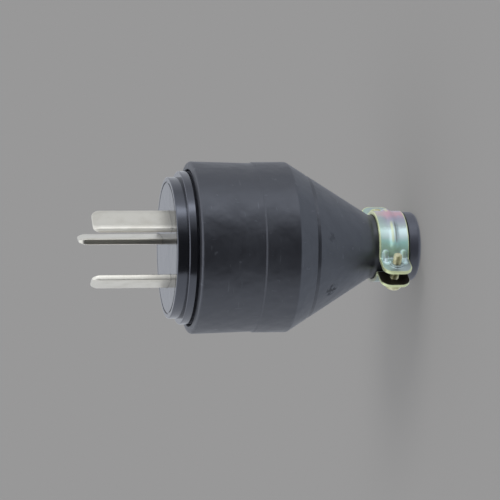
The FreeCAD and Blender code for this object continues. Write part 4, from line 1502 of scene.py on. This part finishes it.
def turned_solid(shape, corners, count):
    """Turn an open outline that starts and ends on the axis about Z."""
    points = [Vector((x, y)) for x, y, radius in corners]
    outline = []
    for index in range(1, len(corners) - 1):
        radius = corners[index][2]
        outline.extend(round_corner(points[index - 1], points[index], points[index + 1], radius))
    solid_from_rings(shape, [ring_of_points(shape, radius, height, count) for radius, height in outline])


class PLUG_OT_fasteners(bpy.types.Operator):
    """Build the clamp's screws and split washers"""

    bl_idname = "plug.fasteners"
    bl_label = "Clamp fasteners"

    def execute(self, context):
        scene = context.scene
        thread = thread_plan()
        washer = washer_plan()
        for name, side, end in (
            ("lower", 1, scene.plug_screws.lower_end),
            ("upper", -1, scene.plug_screws.upper_end),
        ):
            place = self.screw_place(scene.plug_clamp, scene.plug_screws, side)
            self.make_washer(scene.plug_screws, washer, name, place)
            self.make_screw(scene.plug_clamp, scene.plug_screws, thread, name, end, place)
        return {"FINISHED"}

    def screw_place(self, clamp, screws, side):
        """Where a screw's bearing face lies, and the direction of its shank."""
        bearing = -(clamp.ear_gap / 2 + clamp.sheet + screws.washer_thickness)
        along = Matrix.Rotation(clamp.clamp_angle, 4, "Z")
        stand = Matrix.Translation((clamp.hole_reach * side, bearing, 0)) @ Matrix.Rotation(
            -math.pi / 2, 4, "X")
        return Matrix.Translation((0, 0, -clamp.level)) @ along @ stand

    def make_washer(self, screws, plan, name, place):
        title = f"{name}_lock_washer_split"
        piece = new_object(title, bpy.data.meshes.new(title))
        mean = (screws.washer_inner + screws.washer_outer) / 2
        spring = screws.washer_spring
        plan.apply(piece, {
            "Mean Radius": mean,
            "Section Width": screws.washer_outer - screws.washer_inner,
            "Section Height": screws.washer_thickness - spring,
            "Edge Round": screws.edge_round,
            "Turn Share": 1 - screws.washer_gap / (FULL_TURN * mean),
            "Spring": spring,
            "Material": finish_for("screw_zinc"),
        })
        middle = (screws.washer_thickness - spring) / 2
        piece.data.transform(place @ Matrix.Translation((0, 0, middle)))
        settle(piece, f"{name}_lock_washer")

    def make_screw(self, clamp, screws, plan, name, end, place):
        title = f"{name}_clamp_screw_threaded"
        reach = clamp.ear_gap + 2 * clamp.sheet + screws.washer_thickness + end
        pitch = screws.clamp_pitch
        core = screws.clamp_radius - screws.clamp_thread
        piece = screw_blank(title, screws, core, reach)
        plan.apply(piece, {
            "Core Radius": core,
            "Ridge Depth": screws.clamp_thread,
            "Pitch": pitch,
            "Start": pitch,
            "Run": reach - pitch - screws.bare_end,
            "Material": finish_for("screw_zinc"),
        })
        piece.data.transform(place)
        settle(piece, f"{name}_clamp_screw")


# The studio


def view_direction(azimuth, elevation):
    """From the plug towards a viewer at that azimuth and elevation."""
    level = math.cos(elevation)
    return Vector((math.sin(azimuth) * level, -math.cos(azimuth) * level, math.sin(elevation)))


# What the plug's sides reflect, going round from the camera: degrees and brightness.
STUDIO_WALLS = [
    (-180, 0.70),
    (-110, 0.86),
    (-80, 0.86),
    (-50, 0.80),
    (-44, 0.74),
    (-39, 0.06),
    (-18, 0.05),
    (10, 0.05),
    (24, 0.12),
    (32, 0.36),
    (42, 0.66),
    (50, 1.0),
    (55, 1.7),
    (60, 2.6),
    (65, 2.6),
    (70, 1.4),
    (76, 1.0),
    (84, 0.92),
    (100, 0.66),
    (133, 0.80),
    (180, 0.70),
]
BRIGHTEST = 3.0
# What they reflect above and below the walls, and how steeply up or down the walls give way to it.
OVERHEAD = (1.25, 1.25, 1.25)
UNDERNEATH = (0.82, 0.85, 0.89)
WALLS_END = 0.45
WALLS_GONE = 0.8
# The direction that the lamp's light comes from.
SUN_FROM = Vector((0.5, -0.15, 0.85))
# The nearest and farthest distance that the camera sees, in metres.
SEEN_BETWEEN = (0.02, 20.0)


class PLUG_OT_stage(bpy.types.Operator):
    """Set up the floor, the studio light and the camera"""

    bl_idname = "plug.stage"
    bl_label = "Studio"

    def execute(self, context):
        studio = context.scene.plug_studio
        context.scene.view_settings.view_transform = "Standard"
        self.make_camera(context, studio)
        self.make_floor(studio)
        self.make_walls(context, studio)
        self.make_sun(studio)
        return {"FINISHED"}

    def make_camera(self, context, studio):
        """The camera looks along the floor, turned so that the blades point left."""
        back = view_direction(studio.azimuth, studio.elevation)
        right = (Vector((0, 0, -1)) + back * back.z).normalized()
        right = Matrix.Rotation(studio.twist, 3, back) @ right
        up = back.cross(right)
        data = bpy.data.cameras.new("camera")
        data.lens = studio.lens
        data.clip_start, data.clip_end = SEEN_BETWEEN
        camera = new_object("camera", data)
        aim = Vector((0, 0, -studio.aim_depth)) + up * studio.rise
        turn = Matrix((right, up, back)).transposed().to_4x4()
        camera.matrix_world = Matrix.Translation(aim + back * studio.distance) @ turn
        context.scene.camera = camera

    def make_floor(self, studio):
        """A wide plain floor that the plug's cable end stands on. Reflections see past it."""
        low = CAD_BOX[0][2]
        half = studio.floor_half
        mesh = bpy.data.meshes.new("floor")
        corners = [(-half, -half, low), (half, -half, low), (half, half, low), (-half, half, low)]
        mesh.from_pydata(corners, [], [(0, 1, 2, 3)])
        floor = new_object("floor", mesh)
        floor.visible_glossy = False
        finish = Finish("floor_paint")
        camera_ray = finish.node("ShaderNodeLightPath").outputs["Is Camera Ray"]
        mesh.materials.append(finish.set({
            "Base Color": studio.floor_colour,
            "Roughness": 1.0,
            "Specular IOR Level": 0.0,
            "Emission Color": finish.blend(camera_ray, BLACK, studio.floor_glow),
            "Emission Strength": 1.0,
        }))

    def make_walls(self, context, studio):
        """Soft studio walls: bright at one side, dim behind the camera, even elsewhere."""
        world = bpy.data.worlds.new("studio")
        world.use_nodes = True
        context.scene.world = world
        shades = Shades(world.node_tree)
        place = shades.node("ShaderNodeTexCoord").outputs["Generated"]
        x, y, z = shades.split(shades.mapped(place, turn=(0, 0, -studio.azimuth)))
        round_camera = x.math("ARCTAN2", x, -y) / FULL_TURN + 0.5
        stops = []
        for degrees, level in STUDIO_WALLS:
            stops.append((degrees / 360 + 0.5, (level / BRIGHTEST,) * 3))
        walls = shades.ramp(round_camera, stops)
        for height, level in ((z, OVERHEAD), (-z, UNDERNEATH)):
            glow = [part / BRIGHTEST for part in level]
            walls = shades.blend(shades.between(height, WALLS_END, WALLS_GONE), walls, glow)
        tinted = shades.blend(1.0, walls, studio.light_tint, "MULTIPLY")
        lit = shades.node("ShaderNodeBackground", None, {"Color": tinted, "Strength": BRIGHTEST})
        seen = shades.node("ShaderNodeBackground", None, {"Color": studio.backdrop, "Strength": 1.0})
        camera_ray = shades.node("ShaderNodeLightPath").outputs["Is Camera Ray"]
        both = shades.node("ShaderNodeMixShader", None, {
            0: camera_ray, 1: lit.outputs[0], 2: seen.outputs[0]})
        shades.node("ShaderNodeOutputWorld", None, {0: both.outputs[0]})

    def make_sun(self, studio):
        """A wide soft lamp from above the blades that gives the floor its shadow."""
        data = bpy.data.lights.new("soft_sun", "SUN")
        data.energy = studio.sun_strength
        data.angle = studio.sun_width
        lamp = new_object("soft_sun", data)
        lamp.matrix_world = SUN_FROM.to_track_quat("Z", "Y").to_matrix().to_4x4()
        lamp.visible_glossy = False


class PLUG_PT_build(bpy.types.Panel):
    """Lists the plug's pieces in the sidebar"""

    bl_label = "Waterproof plug"
    bl_space_type = "VIEW_3D"
    bl_region_type = "UI"
    bl_category = "Plug"

    def draw(self, context):
        for operator in OPERATORS:
            self.layout.operator(operator.bl_idname)
        for name in SETTINGS:
            settings = getattr(context.scene, name)
            box = self.layout.box()
            box.label(text=name.replace("_", " ").capitalize())
            for field in settings.bl_rna.properties:
                if not field.is_readonly and field.identifier != "name":
                    box.prop(settings, field.identifier)


OPERATORS = [
    PLUG_OT_stage,
    PLUG_OT_boot,
    PLUG_OT_base,
    PLUG_OT_terminals,
    PLUG_OT_blades,
    PLUG_OT_clamp,
    PLUG_OT_fasteners,
]


def register():
    for settings in SETTINGS.values():
        bpy.utils.register_class(settings)
    for name, settings in SETTINGS.items():
        setattr(bpy.types.Scene, name, bpy.props.PointerProperty(type=settings))
    for operator in OPERATORS:
        bpy.utils.register_class(operator)
    bpy.utils.register_class(PLUG_PT_build)


def unregister():
    bpy.utils.unregister_class(PLUG_PT_build)
    for operator in reversed(OPERATORS):
        bpy.utils.unregister_class(operator)
    for name in SETTINGS:
        delattr(bpy.types.Scene, name)
    for settings in reversed(SETTINGS.values()):
        bpy.utils.unregister_class(settings)


def main():
    register()
    bpy.ops.plug.stage()
    bpy.ops.plug.boot()
    bpy.ops.plug.base()
    bpy.ops.plug.terminals()
    bpy.ops.plug.blades()
    bpy.ops.plug.clamp()
    bpy.ops.plug.fasteners()


if __name__ == "__main__":
    main()
